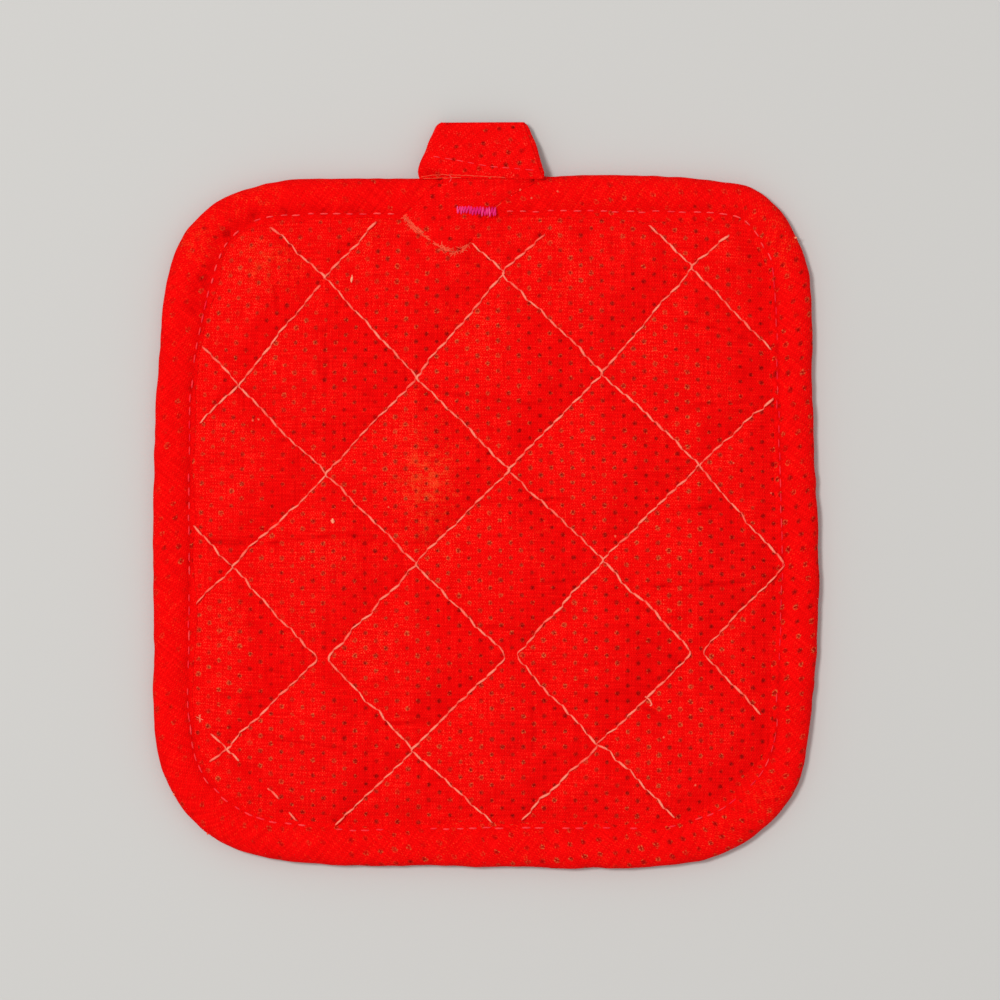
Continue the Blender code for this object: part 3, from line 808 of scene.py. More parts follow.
def pad_face_level(points, share=1.0):
    """Height of the pad's face: low at the seams and the binding, puffed between them."""
    inside, stations = inside_edge(points)
    past_seam = inside - SEAM_DEPTHS[stations]
    rim = np.interp(past_seam, *zip(*RIM_FACE))
    apart = np.minimum(distance_to_quilting(points), (past_seam - PUFF_START) * PUFF_FROM_RIM)
    puff = 1.0 - (1.0 - np.clip(apart / PUFF_REACH, 0.0, 1.0)) ** PUFF_FULLNESS
    return rim + PUFF_RISE * puff * share


def pad_back_level(points):
    """Height of the pad's underside: flat on the surface, drawn up at the seams and the rim."""
    rim = np.interp(inside_edge(points)[0], *zip(*RIM_BACK))
    drawn_up = 1.0 - smooth_step(distance_to_quilting(points) / CHANNEL_UNDER_REACH)
    return np.maximum(rim, CHANNEL_UNDER * drawn_up)


def swollen(points, faces, held):
    """The mesh after its cloth has been blown up between the held points."""
    scene = bpy.context.scene
    mesh = bpy.data.meshes.new("swelling")
    scale = METRES_PER_MM * SWELL_SCALE
    mesh.from_pydata((points * scale).tolist(), [], faces)
    blown = bpy.data.objects.new("swelling", mesh)
    scene.collection.objects.link(blown)
    blown.vertex_groups.new(name="held").add(np.flatnonzero(held).tolist(), 1.0, "REPLACE")
    cloth = blown.modifiers.new("swelling", "CLOTH")
    for key, value in SWELL_SETTINGS.items():
        setattr(cloth.settings, key, value)
    cloth.settings.effector_weights.gravity = 0.0
    cloth.collision_settings.use_collision = False
    cloth.point_cache.frame_start = 1
    cloth.point_cache.frame_end = SWELL_FRAMES
    for step in range(1, SWELL_FRAMES + 1):
        scene.frame_set(step)
    evaluated = blown.evaluated_get(bpy.context.evaluated_depsgraph_get())
    found = np.empty(len(points) * 3, dtype=np.float32)
    evaluated.data.vertices.foreach_get("co", found)
    scene.frame_set(1)
    bpy.data.objects.remove(blown)
    bpy.data.meshes.remove(mesh)
    move = found.reshape(-1, 3).astype(float) / scale - points
    far = np.linalg.norm(move, axis=1)
    return points + move * np.minimum(1.0, SWELL_CAP / np.maximum(far, TINY))[:, None]


def stitch_ends(path, pitch):
    """Points where the stitches of a path begin and end."""
    return resample(path, max(1, round(lengths_along(path)[-1] / pitch)) + 1)


def seam_shade(flat):
    """Painted shade beside the binding's stitches, a deeper red, most at the right, then the left."""
    most = np.where(flat[:, 0] > 0.0, 0.75, 0.5)
    sides = 0.25 + most * smooth_step((np.abs(flat[:, 0]) - SIDES_FROM) / 6.0)
    beside = bell(distance_to_path(flat, SEAM_RING, closed=True), SEAM_SHADE_REACH)
    return SEAM_PAINTED_SHADE * sides * beside


def crease_shape(flat):
    """How far the face sinks at its creases, with a low ridge on both sides of each."""
    sink = np.zeros(len(flat))
    for path, (_, depth, width) in zip(CREASE_PATHS, CREASES):
        gap = distance_to_path(flat, path)
        near = gap < 5.0 * width
        ends = np.minimum(*(np.linalg.norm(flat[near] - path[end], axis=1) for end in (0, -1)))
        fade = smooth_step(ends / CREASE_ENDS) * (0.75 + waves("crease depth", flat[near]))
        across = gap[near] / width
        sink[near] += depth * fade * (bell(across, 1.0) - RIDGE * bell(across - RIDGE_PLACE, 1.0))
    return sink


def press_details(flat):
    """How far the face sinks at its seams, needle holes and creases."""
    sink = GROOVE_DEPTH * bell(distance_to_quilting(flat), GROOVE_REACH)
    for path in QUILTING:
        for hole in stitch_ends(path, QUILT_STITCH):
            near = np.abs(flat - hole).max(axis=1) < 2.5 * HOLE_REACH
            gap = ((flat[near] - hole) ** 2).sum(axis=1)
            sink[near] += HOLE_DEPTH * np.exp(-gap / HOLE_REACH ** 2)
    return sink + crease_shape(flat)


def cloth_fields_of_pad(points, faces):
    """Where each point lies on the printed cloth, how faded and printed it is with painted shade, and how
    much it faces the painted light.
    """
    flat = points[:, :2]
    x, y = flat.T / PAD_HALF
    terms = np.column_stack([x ** right * y ** up for right in range(4) for up in range(4 - right)])
    cloth = np.column_stack([terms @ PAD_ACROSS, terms @ PAD_UP, np.zeros(len(x))])
    fade = waves("face fade", flat) + waves("fine face fade", flat)
    # Painted shade in the creases and beside the binding's stitches, as a deeper red, on the face only
    crease_shade = CREASE_PAINTED_SHADE * np.clip(crease_shape(flat) / 0.4, 0.0, 1.5)
    fade += (blobs(flat, FADES_AND_SHADE) - crease_shade - seam_shade(flat)) * (points[:, 2] > FACE_FROM)
    ink = 0.75 + blobs(flat, WEAR) + waves("face ink", flat)
    return {"cloth": cloth, "fade": fade, "ink": ink, "facing_light": light_facing(points, faces)}


def make_pad():
    """The quilted pad: its face swollen between the seams, its underside flat."""
    face_flat, face_triangles = pad_layer(
        FACE_RINGS, FACE_SEAM_STEP, FACE_SIDE_ROWS, FACE_FILL_STEP, CREASE_PATHS)
    back_flat, back_triangles = pad_layer(BACK_RINGS, BACK_SEAM_STEP, BACK_SIDE_ROWS, BACK_FILL_STEP)
    count = len(face_flat)
    faces = list(face_triangles)
    faces += [[index + count for index in reversed(triangle)] for triangle in back_triangles]
    for index in range(RING_POINTS):
        after = (index + 1) % RING_POINTS
        faces.append([index, index + count, after + count, after])
    points = np.vstack([np.column_stack([face_flat, pad_face_level(face_flat)]),
                        np.column_stack([back_flat, pad_back_level(back_flat)])])
    points[:count, 2] = pad_face_level(face_flat, SWELL_START)
    inside, stations = inside_edge(face_flat)
    held = np.ones(len(points), dtype=bool)
    held[:count] = ((distance_to_quilting(face_flat) < HELD_BESIDE_SEAM)
                    | (inside - SEAM_DEPTHS[stations] < HELD_PAST_BINDING_SEAM))
    points = swollen(points, faces, held)
    flat = points[:count, :2]
    points[:count, 2] -= press_details(flat)
    points[:count, 2] += waves("face", flat) * smooth_step(distance_to_quilting(flat) / 3.0)
    piece = new_piece("pad", points, faces, cloth_fields_of_pad(points, faces))
    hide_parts("quilted_panel")
    return piece, tree_over(points[:count], face_triangles)


# ---------------------------------------------------------------- binding


def make_binding(pad_tree):
    """The bias tape folded over the pad's edge, held by one row of stitches."""
    along = lengths_along(EDGE)
    wide = 1.0 + LIP_WANDER * (waves("lip", EDGE) + waves("fine lip", EDGE))
    wide = np.maximum(wide, NARROWEST_LIP) + blobs(EDGE, WIDE_LIPS)
    middle = []
    for place, outwards, depth, wider in zip(EDGE, EDGE_NORMALS, SEAM_DEPTHS, wide):
        row = [*BINDING_BACK, *((depth * share, height) for share, height in BINDING_FACE)]
        for past, rise in BINDING_LIP:
            inside = depth + past * wider
            row.append((inside, level_over([pad_tree], *(place - outwards * inside)) + rise))
        middle.append(row)
    middle = np.array(middle)
    tangent = unit(np.gradient(middle, axis=1))
    across = np.concatenate([np.zeros((STATIONS, 1)), np.cumsum(
        np.linalg.norm(np.diff(middle, axis=1), axis=2), axis=1)], axis=1)
    to_end = across[:, -1:] - across
    thin = smooth_step(1.25 - to_end / (LIP_WIDTH * wide[:, None]))
    half = (BINDING_THICKNESS + (LIP_THICKNESS - BINDING_THICKNESS) * thin) / 2.0
    inwards = np.dstack([tangent[:, :, 1], -tangent[:, :, 0]]) * half[:, :, None]
    outer, inner = middle - inwards, middle + inwards
    # Puckers between the stitches, and dents at their ends
    phase = np.cos(math.tau * along / BINDING_STITCH)[:, None]
    wander = waves("shoulder", EDGE)[:, None]
    seam_gap = outer[:, :, 0] - SEAM_DEPTHS[:, None]
    on_face = middle[:, :, 1] > BINDING_FACE_FROM
    near_seam = bell(seam_gap, GATHER_REACH) * on_face * np.where(seam_gap > 0.0, 0.4, 1.0)
    shoulder = bell(seam_gap + SHOULDER_OUT, SHOULDER_REACH) * on_face
    lift = -GATHER_DEPTH * near_seam * (0.6 - 0.4 * phase)
    lift += SHOULDER_RISE * shoulder * phase * (0.6 + 0.4 * wander)
    # Waves of the tape itself, worked out on the tape laid flat
    laid = np.column_stack([np.repeat(along, across.shape[1]), across.ravel()])
    lift += (waves("tape", laid).reshape(across.shape)
             * np.clip(middle[:, :, 1] / 3.0, 0.0, 1.0) * smooth_step(to_end / 2.0))
    tops = EDGE[:, None, :] - EDGE_NORMALS[:, None, :] * outer[:, :, :1]
    lift -= blobs(tops.reshape(-1, 2), PUCKERS).reshape(across.shape)
    outer[:, :, 1] += lift * on_face
    on_rim = (RIM_SPAN[0] < middle[:, :, 1]) & (middle[:, :, 1] < RIM_SPAN[1])
    outer[:, :, 0] -= waves("rim", laid).reshape(across.shape) * on_rim
    cap_face = (outer[:, -1] + inner[:, -1] + tangent[:, -1] * LIP_THICKNESS) / 2
    cap_back = (outer[:, 0] + inner[:, 0] - tangent[:, 0] * BINDING_THICKNESS) / 2
    ring = np.concatenate([outer, cap_face[:, None], inner[:, ::-1], cap_back[:, None]], axis=1)
    ring[:, :, 1] = np.maximum(ring[:, :, 1], 0.0)
    plan = EDGE[:, None, :] - EDGE_NORMALS[:, None, :] * ring[:, :, :1]
    points = np.dstack([plan, ring[:, :, 1]]).reshape(-1, 3)
    faces = ring_faces(STATIONS, ring.shape[1], joined=True)
    order = np.concatenate([across, across[:, -1:], across[:, ::-1], across[:, :1]], axis=1)
    on_tape = np.column_stack([np.repeat(along, order.shape[1]), order.ravel()])
    flat, (x, y, z) = points[:, :2], points.T
    ink = 0.55 + 0.25 * np.clip(x / 80.0, -1.0, 1.0) - 0.3 * np.clip((y - 55.0) / 20.0, 0.0, 1.0)
    ink += waves("binding ink", flat)
    fade = waves("binding fade", flat) + waves("fine binding fade", flat)
    # Painted shade: a deeper red in the corner's dents and beside the seam, on the tape's face
    fade += (blobs(flat, BINDING_FADES_AND_SHADE) - seam_shade(flat)) * np.clip(
        (z - FACE_FROM) / 1.5, 0.0, 1.0)
    piece = new_piece("bias_binding", points, faces, {
        "cloth": printed(on_tape, TAPE_STEPS), "fade": fade, "ink": ink,
        "facing_light": light_facing(points, faces)})
    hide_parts("edge_binding")
    return piece, tree_over(points, faces)


# ---------------------------------------------------------------- loop


def between(row, bow=0.0):
    """Points across the tape between its two edges, bowed along the tape, most near the inner one."""
    outer, inner = row
    share = np.linspace(0.0, 1.0, LOOP_COLUMNS + 1)[:, None]
    width = inner - outer
    along = unit(np.array((width[1], -width[0])))
    return outer + width * share + along * bow * share ** 0.8 * (1.0 - share ** 6) / 0.65


def flap_level(points):
    """Height of the tape's last pass before it meets the pad."""
    return np.interp(inside_edge(points)[0], *zip(*FLAP_LEVEL))


def top_level(points):
    """Height of the tape's top pass, one layer above its last pass, its inner edge dipped."""
    low, high = INNER_EDGE
    dip = INNER_EDGE_DROP + LEFT_END_DROP * smooth_step((LEFT_END - points[:, 0]) / 5.0)
    return flap_level(points) + LAYER_PITCH - dip * smooth_step((high - points[:, 1]) / (high - low))


def under_level(points):
    """Height of the tape's first pass, which leaves the edge at half its height."""
    return np.interp(-inside_edge(points)[0], *zip(*UNDER_PASS_LEVEL))


def loop_grid(trees):
    """The middle of the tape in rows and columns, with the pass that each row belongs to."""
    start, left, right = (np.array(row) for row in (LOOP_START, LEFT_CREASE, RIGHT_CREASE))
    rows, kinds = [], []

    def add(flat, height, kind):
        rows.append(np.column_stack([flat, height]))
        kinds.append(kind)

    def add_run(first, last, level, kind):
        for share in np.linspace(0.0, 1.0, RUN_ROWS + 1):
            flat = between(first + (last - first) * share)
            add(flat, level(flat), kind)

    def add_fold(crease, outwards, bulge, lower, upper, kind):
        edge = crease[0] - crease[1]
        sideways = unit(np.array((edge[1], -edge[0]))) * outwards
        flat = between(crease)
        square = 1.0 - 0.75 * np.abs(np.linspace(-1.0, 1.0, len(flat))[:, None]) ** 9
        for angle in np.linspace(0.0, math.pi, FOLD_ROWS + 1)[1:-1]:
            mix = (1.0 - math.cos(angle)) / 2.0
            out = (bulge * square + waves("fold", flat)[:, None]) * math.sin(angle)
            add(flat + sideways * out, lower(flat) * (1.0 - mix) + upper(flat) * mix, kind)

    add_run(start, left, under_level, UNDER_PASS)
    add_fold(left, -1.0, LEFT_FOLD_BULGE, under_level, top_level, LEFT_FOLD)
    add_run(left, right, top_level, TOP_PASS)
    add_fold(right, 1.0, RIGHT_FOLD_BULGE, top_level, flap_level, RIGHT_FOLD)
    table = np.array([(*right[0], *right[1], 0.0)] * 2 + [*FLAP, FLAP[-1]])
    for share in np.linspace(0.0, len(FLAP), FLAP_ROWS + 1):
        first = min(int(share), len(FLAP) - 1)
        row = on_curve(*table[first:first + 4], share - first)
        flat = between(row[:4].reshape(2, 2), row[4])
        level = flap_level(flat)
        inside = inside_edge(flat)[0]
        share = np.linspace(0.0, 1.0, len(flat))
        full = smooth_step(np.minimum(share, 1.0 - share) / FLAP_EDGE_SHARE)
        clear = FLAP_EDGE_CLEAR + (FLAP_CLEAR - FLAP_EDGE_CLEAR) * full
        for index in np.flatnonzero(inside > 1.0):
            rest = level_over(trees, *flat[index])
            lowest = level[index] - FLAP_DROP + FLAP_DROP / 2 * full[index]
            level[index] = max(rest + clear[index], lowest)
        add(flat, level, FLAP_PASS)
    return np.array(rows), np.array(kinds)


def softened(values, times):
    """A grid of heights smoothed along both of its ways."""
    for _ in range(times):
        padded = np.pad(values, 1, mode="edge")
        values = (padded[1:-1, 1:-1] * 2.0 + padded[:-2, 1:-1] + padded[2:, 1:-1]
                  + padded[1:-1, :-2] + padded[1:-1, 2:]) / 6.0
    return values


def make_loop(trees):
    """One tape folded twice, tacked to the binding, its raw end lying on the pad's face."""
    grid, kinds = loop_grid(trees)
    rows, columns = grid.shape[:2]
    share = np.linspace(0.0, 1.0, columns)
    from_edge = np.minimum(share, 1.0 - share)
    flap = kinds == FLAP_PASS
    height = grid[flap][:, :, 2]
    past_fold = np.linspace(0.0, 1.0, flap.sum())[:, None] > FLAP_FOLD_SHARE
    softer = np.maximum(softened(height, FLAP_SOFTENINGS), height - FLAP_SOFTER)
    grid[flap, :, 2] += (softer - height) * past_fold * smooth_step(from_edge / FLAP_EDGE_SHARE)
    along_columns = np.gradient(grid, axis=1)
    normal = unit(np.cross(np.gradient(grid, axis=0), along_columns))
    profile = (0.5 + 0.4 * smooth_step(from_edge / LOOP_EDGE_SHARE)
               + 0.1 * bell(from_edge - LOOP_BEAD[0], LOOP_BEAD[1]))
    half = np.tile(LOOP_THICKNESS / 2.0 * profile, (rows, 1))
    half[flap] *= FLAP_THINNER
    half[flap] *= 1.0 - 0.5 * bell(from_edge, 0.05)
    half[kinds == TOP_PASS] *= 1.0 - 0.35 * smooth_step((share - 0.72) / 0.28)
    half[-1] *= 0.5
    half[-2] *= 0.8
    sway = waves("loop", grid[:, :, :2].reshape(-1, 2)).reshape(rows, columns)
    upper = grid + normal * (half + sway)[:, :, None]
    lower = grid - normal * (half - sway)[:, :, None]
    left_cap = grid[:, 0] - unit(along_columns[:, 0]) * LOOP_CAP
    right_cap = grid[:, -1] + unit(along_columns[:, -1]) * LOOP_CAP
    ring = np.concatenate([upper, right_cap[:, None], lower[:, ::-1], left_cap[:, None]], axis=1)
    spots = ring.shape[1]
    points = ring.reshape(-1, 3)
    faces = ring_faces(rows, spots)
    for base, way in ((0, 1), ((rows - 1) * spots, -1)):
        for column in range(columns - 1):
            under = spots - 2 - column
            faces.append([base + column, base + under, base + under - 1, base + column + 1][::way])
        for end in ((0, spots - 1, spots - 2), (columns - 1, columns + 1, columns)):
            faces.append([base + spot for spot in end][::way])
    flat = points[:, :2]
    on_pass = np.repeat(kinds, spots)
    late = on_pass >= RIGHT_FOLD
    x, y = ((flat - FLAP_DOT) / FLAP_PRINT).T
    turned = np.column_stack([
        x * math.cos(FLAP_TURN) + y * math.sin(FLAP_TURN),
        y * math.cos(FLAP_TURN) - x * math.sin(FLAP_TURN), np.zeros(len(points))])
    cloth = np.where(late[:, None], turned, printed(flat - TAB_DOT, TAB_STEPS))
    fade = waves("loop fade", flat)
    for first, last, pale in FRAYED_PARTS:
        end = distance_to_path(flat, np.array(FRAYED_END[first:last]))
        fade += pale * bell(end, FRAYED_REACH) * late
    ink = 0.66 + waves("loop ink", flat) - 0.12 * late + blobs(flat, LOOP_WEAR) * ~late
    piece = new_piece("folded_loop", points, faces, {
        "cloth": cloth, "fade": fade, "ink": ink, "facing_light": light_facing(points, faces)})
    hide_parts("hanging_loop")
    return piece, tree_over(points, faces)


# ---------------------------------------------------------------- threads


class Threads:
    """Tubes gathered into one mesh."""

    def __init__(self, sides):
        self.angles = np.arange(sides) / sides * math.tau
        self.points, self.faces = [], []
        self.tone, self.along = [], []

    def add(self, flat, height, radii, tone):
        """One tube along a path seen from above and its heights, closed at both ends."""
        sides, rows = len(self.angles), len(flat)
        path = np.column_stack([flat, np.broadcast_to(height, rows)])
        radii = np.broadcast_to(radii, rows)[:, None, None]
        tangent = unit(np.gradient(path, axis=0))
        up = (0.3, 0.9, 0.1) if abs(tangent[:, 2]).max() > 0.95 else (0.0, 0.0, 1.0)
        side = unit(np.cross(tangent, np.array(up)))
        over = np.cross(side, tangent)
        first = sum(len(part) for part in self.points)
        rings = (path[:, None, :]
                 + side[:, None, :] * (np.cos(self.angles)[None, :, None] * radii)
                 + over[:, None, :] * (np.sin(self.angles)[None, :, None] * radii))
        self.points.append(rings.reshape(-1, 3))
        self.along.append(np.column_stack([
            np.repeat(lengths_along(path), sides), np.tile(self.angles, rows),
            np.zeros(rows * sides)]))
        self.tone.append(np.repeat(np.broadcast_to(tone, rows), sides))
        self.faces += [face[:1] + face[:0:-1] for face in ring_faces(rows, sides, first=first)]
        self.faces.append([first + spot for spot in range(sides)])
        self.faces.append([first + (rows - 1) * sides + spot for spot in reversed(range(sides))])

    def stitch(self, kind, line, level, hump, thick, tone):
        """One stitch of the named kind, arched over the cloth's level."""
        sink, rise, roundness, radius, fuller = STITCH_KINDS[kind]
        self.add(line, level - sink + rise * hump ** roundness, (radius + fuller * hump) * thick, tone)

    def piece(self, name, slot):
        """The object made of all the tubes."""
        fields = {"tone": np.concatenate(self.tone), "along": np.vstack(self.along)}
        return new_piece(name, np.vstack(self.points), self.faces, fields)


def is_buried(point):
    """Whether the quilting thread is out of sight here."""
    return any((point[0] - x) ** 2 + (point[1] - y) ** 2 < reach ** 2 for x, y, reach in BURIED)


def make_quilting_thread(trees):
    """Stitches along every quilting line, on the face and on the underside."""
    threads = Threads(sides=7)
    for path in QUILTING:
        count = len(stitch_ends(path, QUILT_STITCH)) - 1
        fine = resample(path, count * QUILT_STEPS + 1)
        sideways = left_of(fine)
        number, part = np.divmod(np.arange(len(fine)), QUILT_STEPS)
        part = part / QUILT_STEPS
        hump = np.sin(math.pi * part)
        slant = RANDOM.normal(*QUILT_SLANT, count + 2) * RANDOM.choice((-1.0, 1.0))
        drift = RANDOM.normal(0.0, QUILT_DRIFT, count + 3)
        shift = slant[number] * (1.0 - 2.0 * part) * smooth_step(hump * 3.0)
        shift += drift[number] * (1 - part) + drift[number + 1] * part
        flat = fine + sideways * shift[:, None]
        fat = RANDOM.uniform(*QUILT_FATNESS, count + 2)[number]
        thin, fuller = QUILT_RADIUS
        radius = (thin + fuller * np.maximum(hump, 0.0) ** QUILT_ROUNDNESS) * fat
        radius[[0, -1]] = QUILT_TIP
        # Towards a stitch's ends, where it dives into the cloth, the thread is painted a deeper red as
        # painted shade and red reflected from the cloth; each stitch also has its own random paleness
        pale = 0.7 * RANDOM.uniform(0.0, 1.0, count + 2)[number] ** 1.4
        tone = np.clip(pale + 0.75 * (1.0 - hump) ** 1.5, 0.0, 1.0)
        level = levels_over(trees, flat, SEAM_LEVEL)
        level = np.convolve(np.pad(level, 1, mode="edge"), (0.25, 0.5, 0.25), mode="valid")
        height = level - QUILT_SINK + QUILT_RISE * hump ** QUILT_ROUNDNESS
        height[[0, -1]] = level[[0, -1]] - THREAD_END_SINK
        shown = np.flatnonzero([not is_buried(point) for point in flat])
        for run in np.split(shown, np.flatnonzero(np.diff(shown) > 1) + 1):
            if len(run) > 3:
                height[run[[0, -1]]] -= THREAD_END_SINK
                threads.add(flat[run], height[run], radius[run], tone[run])
        under = fine[::2] + sideways[::2] * (drift[number[::2]] * 0.6)[:, None]
        level = pad_back_level(under) - 0.02 - 0.16 * np.cos(math.pi * part[::2]) ** 2
        threads.add(under, np.maximum(level, UNDER_LOWEST), UNDER_RADIUS, 0.1)
    nub = rounded(QUILT_NUB, step=0.3)
    threads.add(nub, levels_over(trees, nub) + 0.22, 0.2, 0.2)
    return threads.piece("quilting_thread", "quilting_thread")


def make_binding_stitches(trees):
    """The row of stitches that holds the binding, above and below."""
    threads = Threads(sides=7)
    ring = rounded(BINDING_SEAM, closed=True)
    count = round(lengths_along(np.vstack([ring, ring[:1]]))[-1] / BINDING_STITCH)
    fine = resample(ring, count * STITCH_STEPS, closed=True)
    looped = np.vstack([fine, fine[:2 * STITCH_STEPS]])
    hump = arch(7)
    for index in range(count):
        start = index * STITCH_STEPS + RANDOM.normal(0.0, STITCH_STRAY)
        x, y = fine[index * STITCH_STEPS]
        side = "left" if x < 0.0 else "right"
        side = "top" if y > TOP_FROM else "bottom" if y < BOTTOM_TO else side
        side = "corner" if x < CORNER_AT[0] and y > CORNER_AT[1] else side
        seen, shows, thick, deep = STITCHES_SEEN[side]
        share = shows * RANDOM.uniform(*STITCH_LENGTHS)
        where = start + np.linspace(0.0, STITCH_STEPS * share, len(hump))
        line = place_at(looped, np.arange(len(looped)), where)
        middle = line[len(hump) // 2]
        under_flap = UNDER_FLAP[0] < middle[0] < UNDER_FLAP[1] and middle[1] > TOP_FROM
        if under_flap or RANDOM.uniform() > seen:
            continue
        line = line + RANDOM.normal(0.0, 0.1)
        tone = np.clip(deep + RANDOM.normal(0.0, 0.2), 0.0, 1.0)
        thick = thick * RANDOM.uniform(*STITCH_FATNESS)
        threads.stitch("binding", line, level_over(trees, *middle), hump, thick, tone)
    fine = resample(EDGE - EDGE_NORMALS * BINDING_BACK_SEAM, count * STITCH_STEPS, closed=True)
    hump = arch(8)
    for first in range(0, len(fine), STITCH_STEPS):
        threads.stitch("back", fine[first:first + len(hump)], 0.0, hump, 1.0, 0.8)
    return threads.piece("binding_stitches", "binding_thread")


def make_loop_stitches(trees):
    """The short row across the tab, and a loose end below it."""
    threads = Threads(sides=7)
    ends = stitch_ends(rounded(LOOP_SEAM, step=0.4), LOOP_STITCH)
    hump = arch(8)
    for here, there in zip(ends[:-1], ends[1:]):
        end = RANDOM.uniform(*LOOP_STITCH_ENDS)
        line = here + (there - here) * np.linspace(0.08, end, len(hump))[:, None]
        level = level_over(trees, *line[len(hump) // 2])
        threads.stitch("loop", line, level, hump, 1.0, RANDOM.uniform(0.3, 0.8))
    loose = rounded(LOOSE_END, step=0.3)
    threads.add(loose, levels_over(trees, loose) + 0.12, 0.11, 0.2)
    return threads.piece("loop_stitches", "binding_thread")


def make_bar_tack(trees):
    """A close zigzag of magenta thread through flap, binding and pad."""
    threads = Threads(sides=6)
    start, end = (np.array(point) for point in TACK)
    run = end - start
    across = unit(np.array((-run[1], run[0])))
    level = max(level_over(trees, *(start + run * share)) for share in (0.2, 0.5, 0.8))
    corners = []
    for index in range(TACK_STROKES + 1):
        share = np.clip((index + RANDOM.uniform(*TACK_STRAY)) / TACK_STROKES, 0.0, 1.0)
        reach = TACK_HEIGHT / 2 * RANDOM.uniform(*TACK_REACH)
        if index % 2:
            reach *= -(0.85 + 0.3 * share)
        corners.append(start + run * share + across * reach)
    parts = np.linspace(0.0, 1.0, 9)
    hump = 1.0 - (2.0 * parts - 1.0) ** 4
    for number, (here, there) in enumerate(zip(corners[:-1], corners[1:])):
        lift = TACK_LIFT * (number % 2) + RANDOM.uniform(*TACK_UNEVEN)
        threads.stitch("tack", here + (there - here) * parts[:, None], level + lift, hump, 1.0,
                       RANDOM.uniform(0.0, 1.0) ** 3)
    return threads.piece("bar_tack", "tack_thread")


def make_frayed_threads(trees):
    """Loose threads along the tape's raw end."""
    threads = Threads(sides=4)
    path = rounded(FRAYED_END, step=0.25)
    along = lengths_along(path)
    steps = np.linspace(-0.5, 0.5, 7)[:, None]
    for first, last, count, spread, wild in FRAYS:
        for _ in range(count):
            where = along[-1] * RANDOM.uniform(first, last)
            spot, ahead, behind = place_at(path, along, where + np.array((0.0, 0.3, -0.3)))
            way = unit(ahead - behind)
            outwards = np.array((way[1], -way[0]))
            turn = RANDOM.normal(0.0, wild)
            lay = way * math.cos(turn) + outwards * math.sin(turn)
            length = RANDOM.uniform(*FRAY_LENGTH)
            middle = spot + outwards * RANDOM.uniform(-0.5, 0.5) * spread
            bend = outwards * RANDOM.normal(0.0, FRAY_CURL) * 4.0 * steps ** 2
            line = middle + lay * steps * length + bend
            rise = 0.01 + RANDOM.uniform(0.0, FRAY_RISE) * (1.0 - 4.0 * steps[:, 0] ** 2)
            threads.add(line, levels_over(trees, line) + rise,
                        RANDOM.uniform(*FRAY_RADIUS), RANDOM.uniform(0.0, 1.0) ** 3)
    for fold in WORN_FOLDS:
        line = rounded(fold)
        line = line + RANDOM.normal(0.0, 0.05, line.shape)
        threads.add(line, levels_over(trees, line) + 0.02,
                    RANDOM.uniform(0.06, 0.12, len(line)), 0.4)
    return threads.piece("frayed_threads", "loop_cloth")


def make_lint(trees):
    """Small pale fibres caught on the cloth."""
    threads = Threads(sides=5)
    steps = np.linspace(-0.5, 0.5, 9)[:, None]
    bulge = 1.0 - 4.0 * steps ** 2
    for x, y, length, width, turn, deep in LINT:
        height = level_over(trees, x, y)
        for strand in range(LINT_STRANDS):
            spread, fat = (8.0, 0.42 * width) if strand == 0 else (30.0, LINT_THIN)
            angle = math.radians(turn + RANDOM.normal(0.0, spread))
            way = np.array((math.cos(angle), math.sin(angle)))
            bend = np.array((-way[1], way[0])) * RANDOM.normal(0.0, 0.12) * bulge
            line = np.array((x, y)) + way * steps * length * RANDOM.uniform(0.7, 1.1) + bend
            threads.add(line, height + 0.02 + 0.03 * strand,
                        0.03 + fat * np.sqrt(np.maximum(bulge[:, 0], 0.0)), deep)
    return threads.piece("lint", "quilting_thread")


# ---------------------------------------------------------------- materials


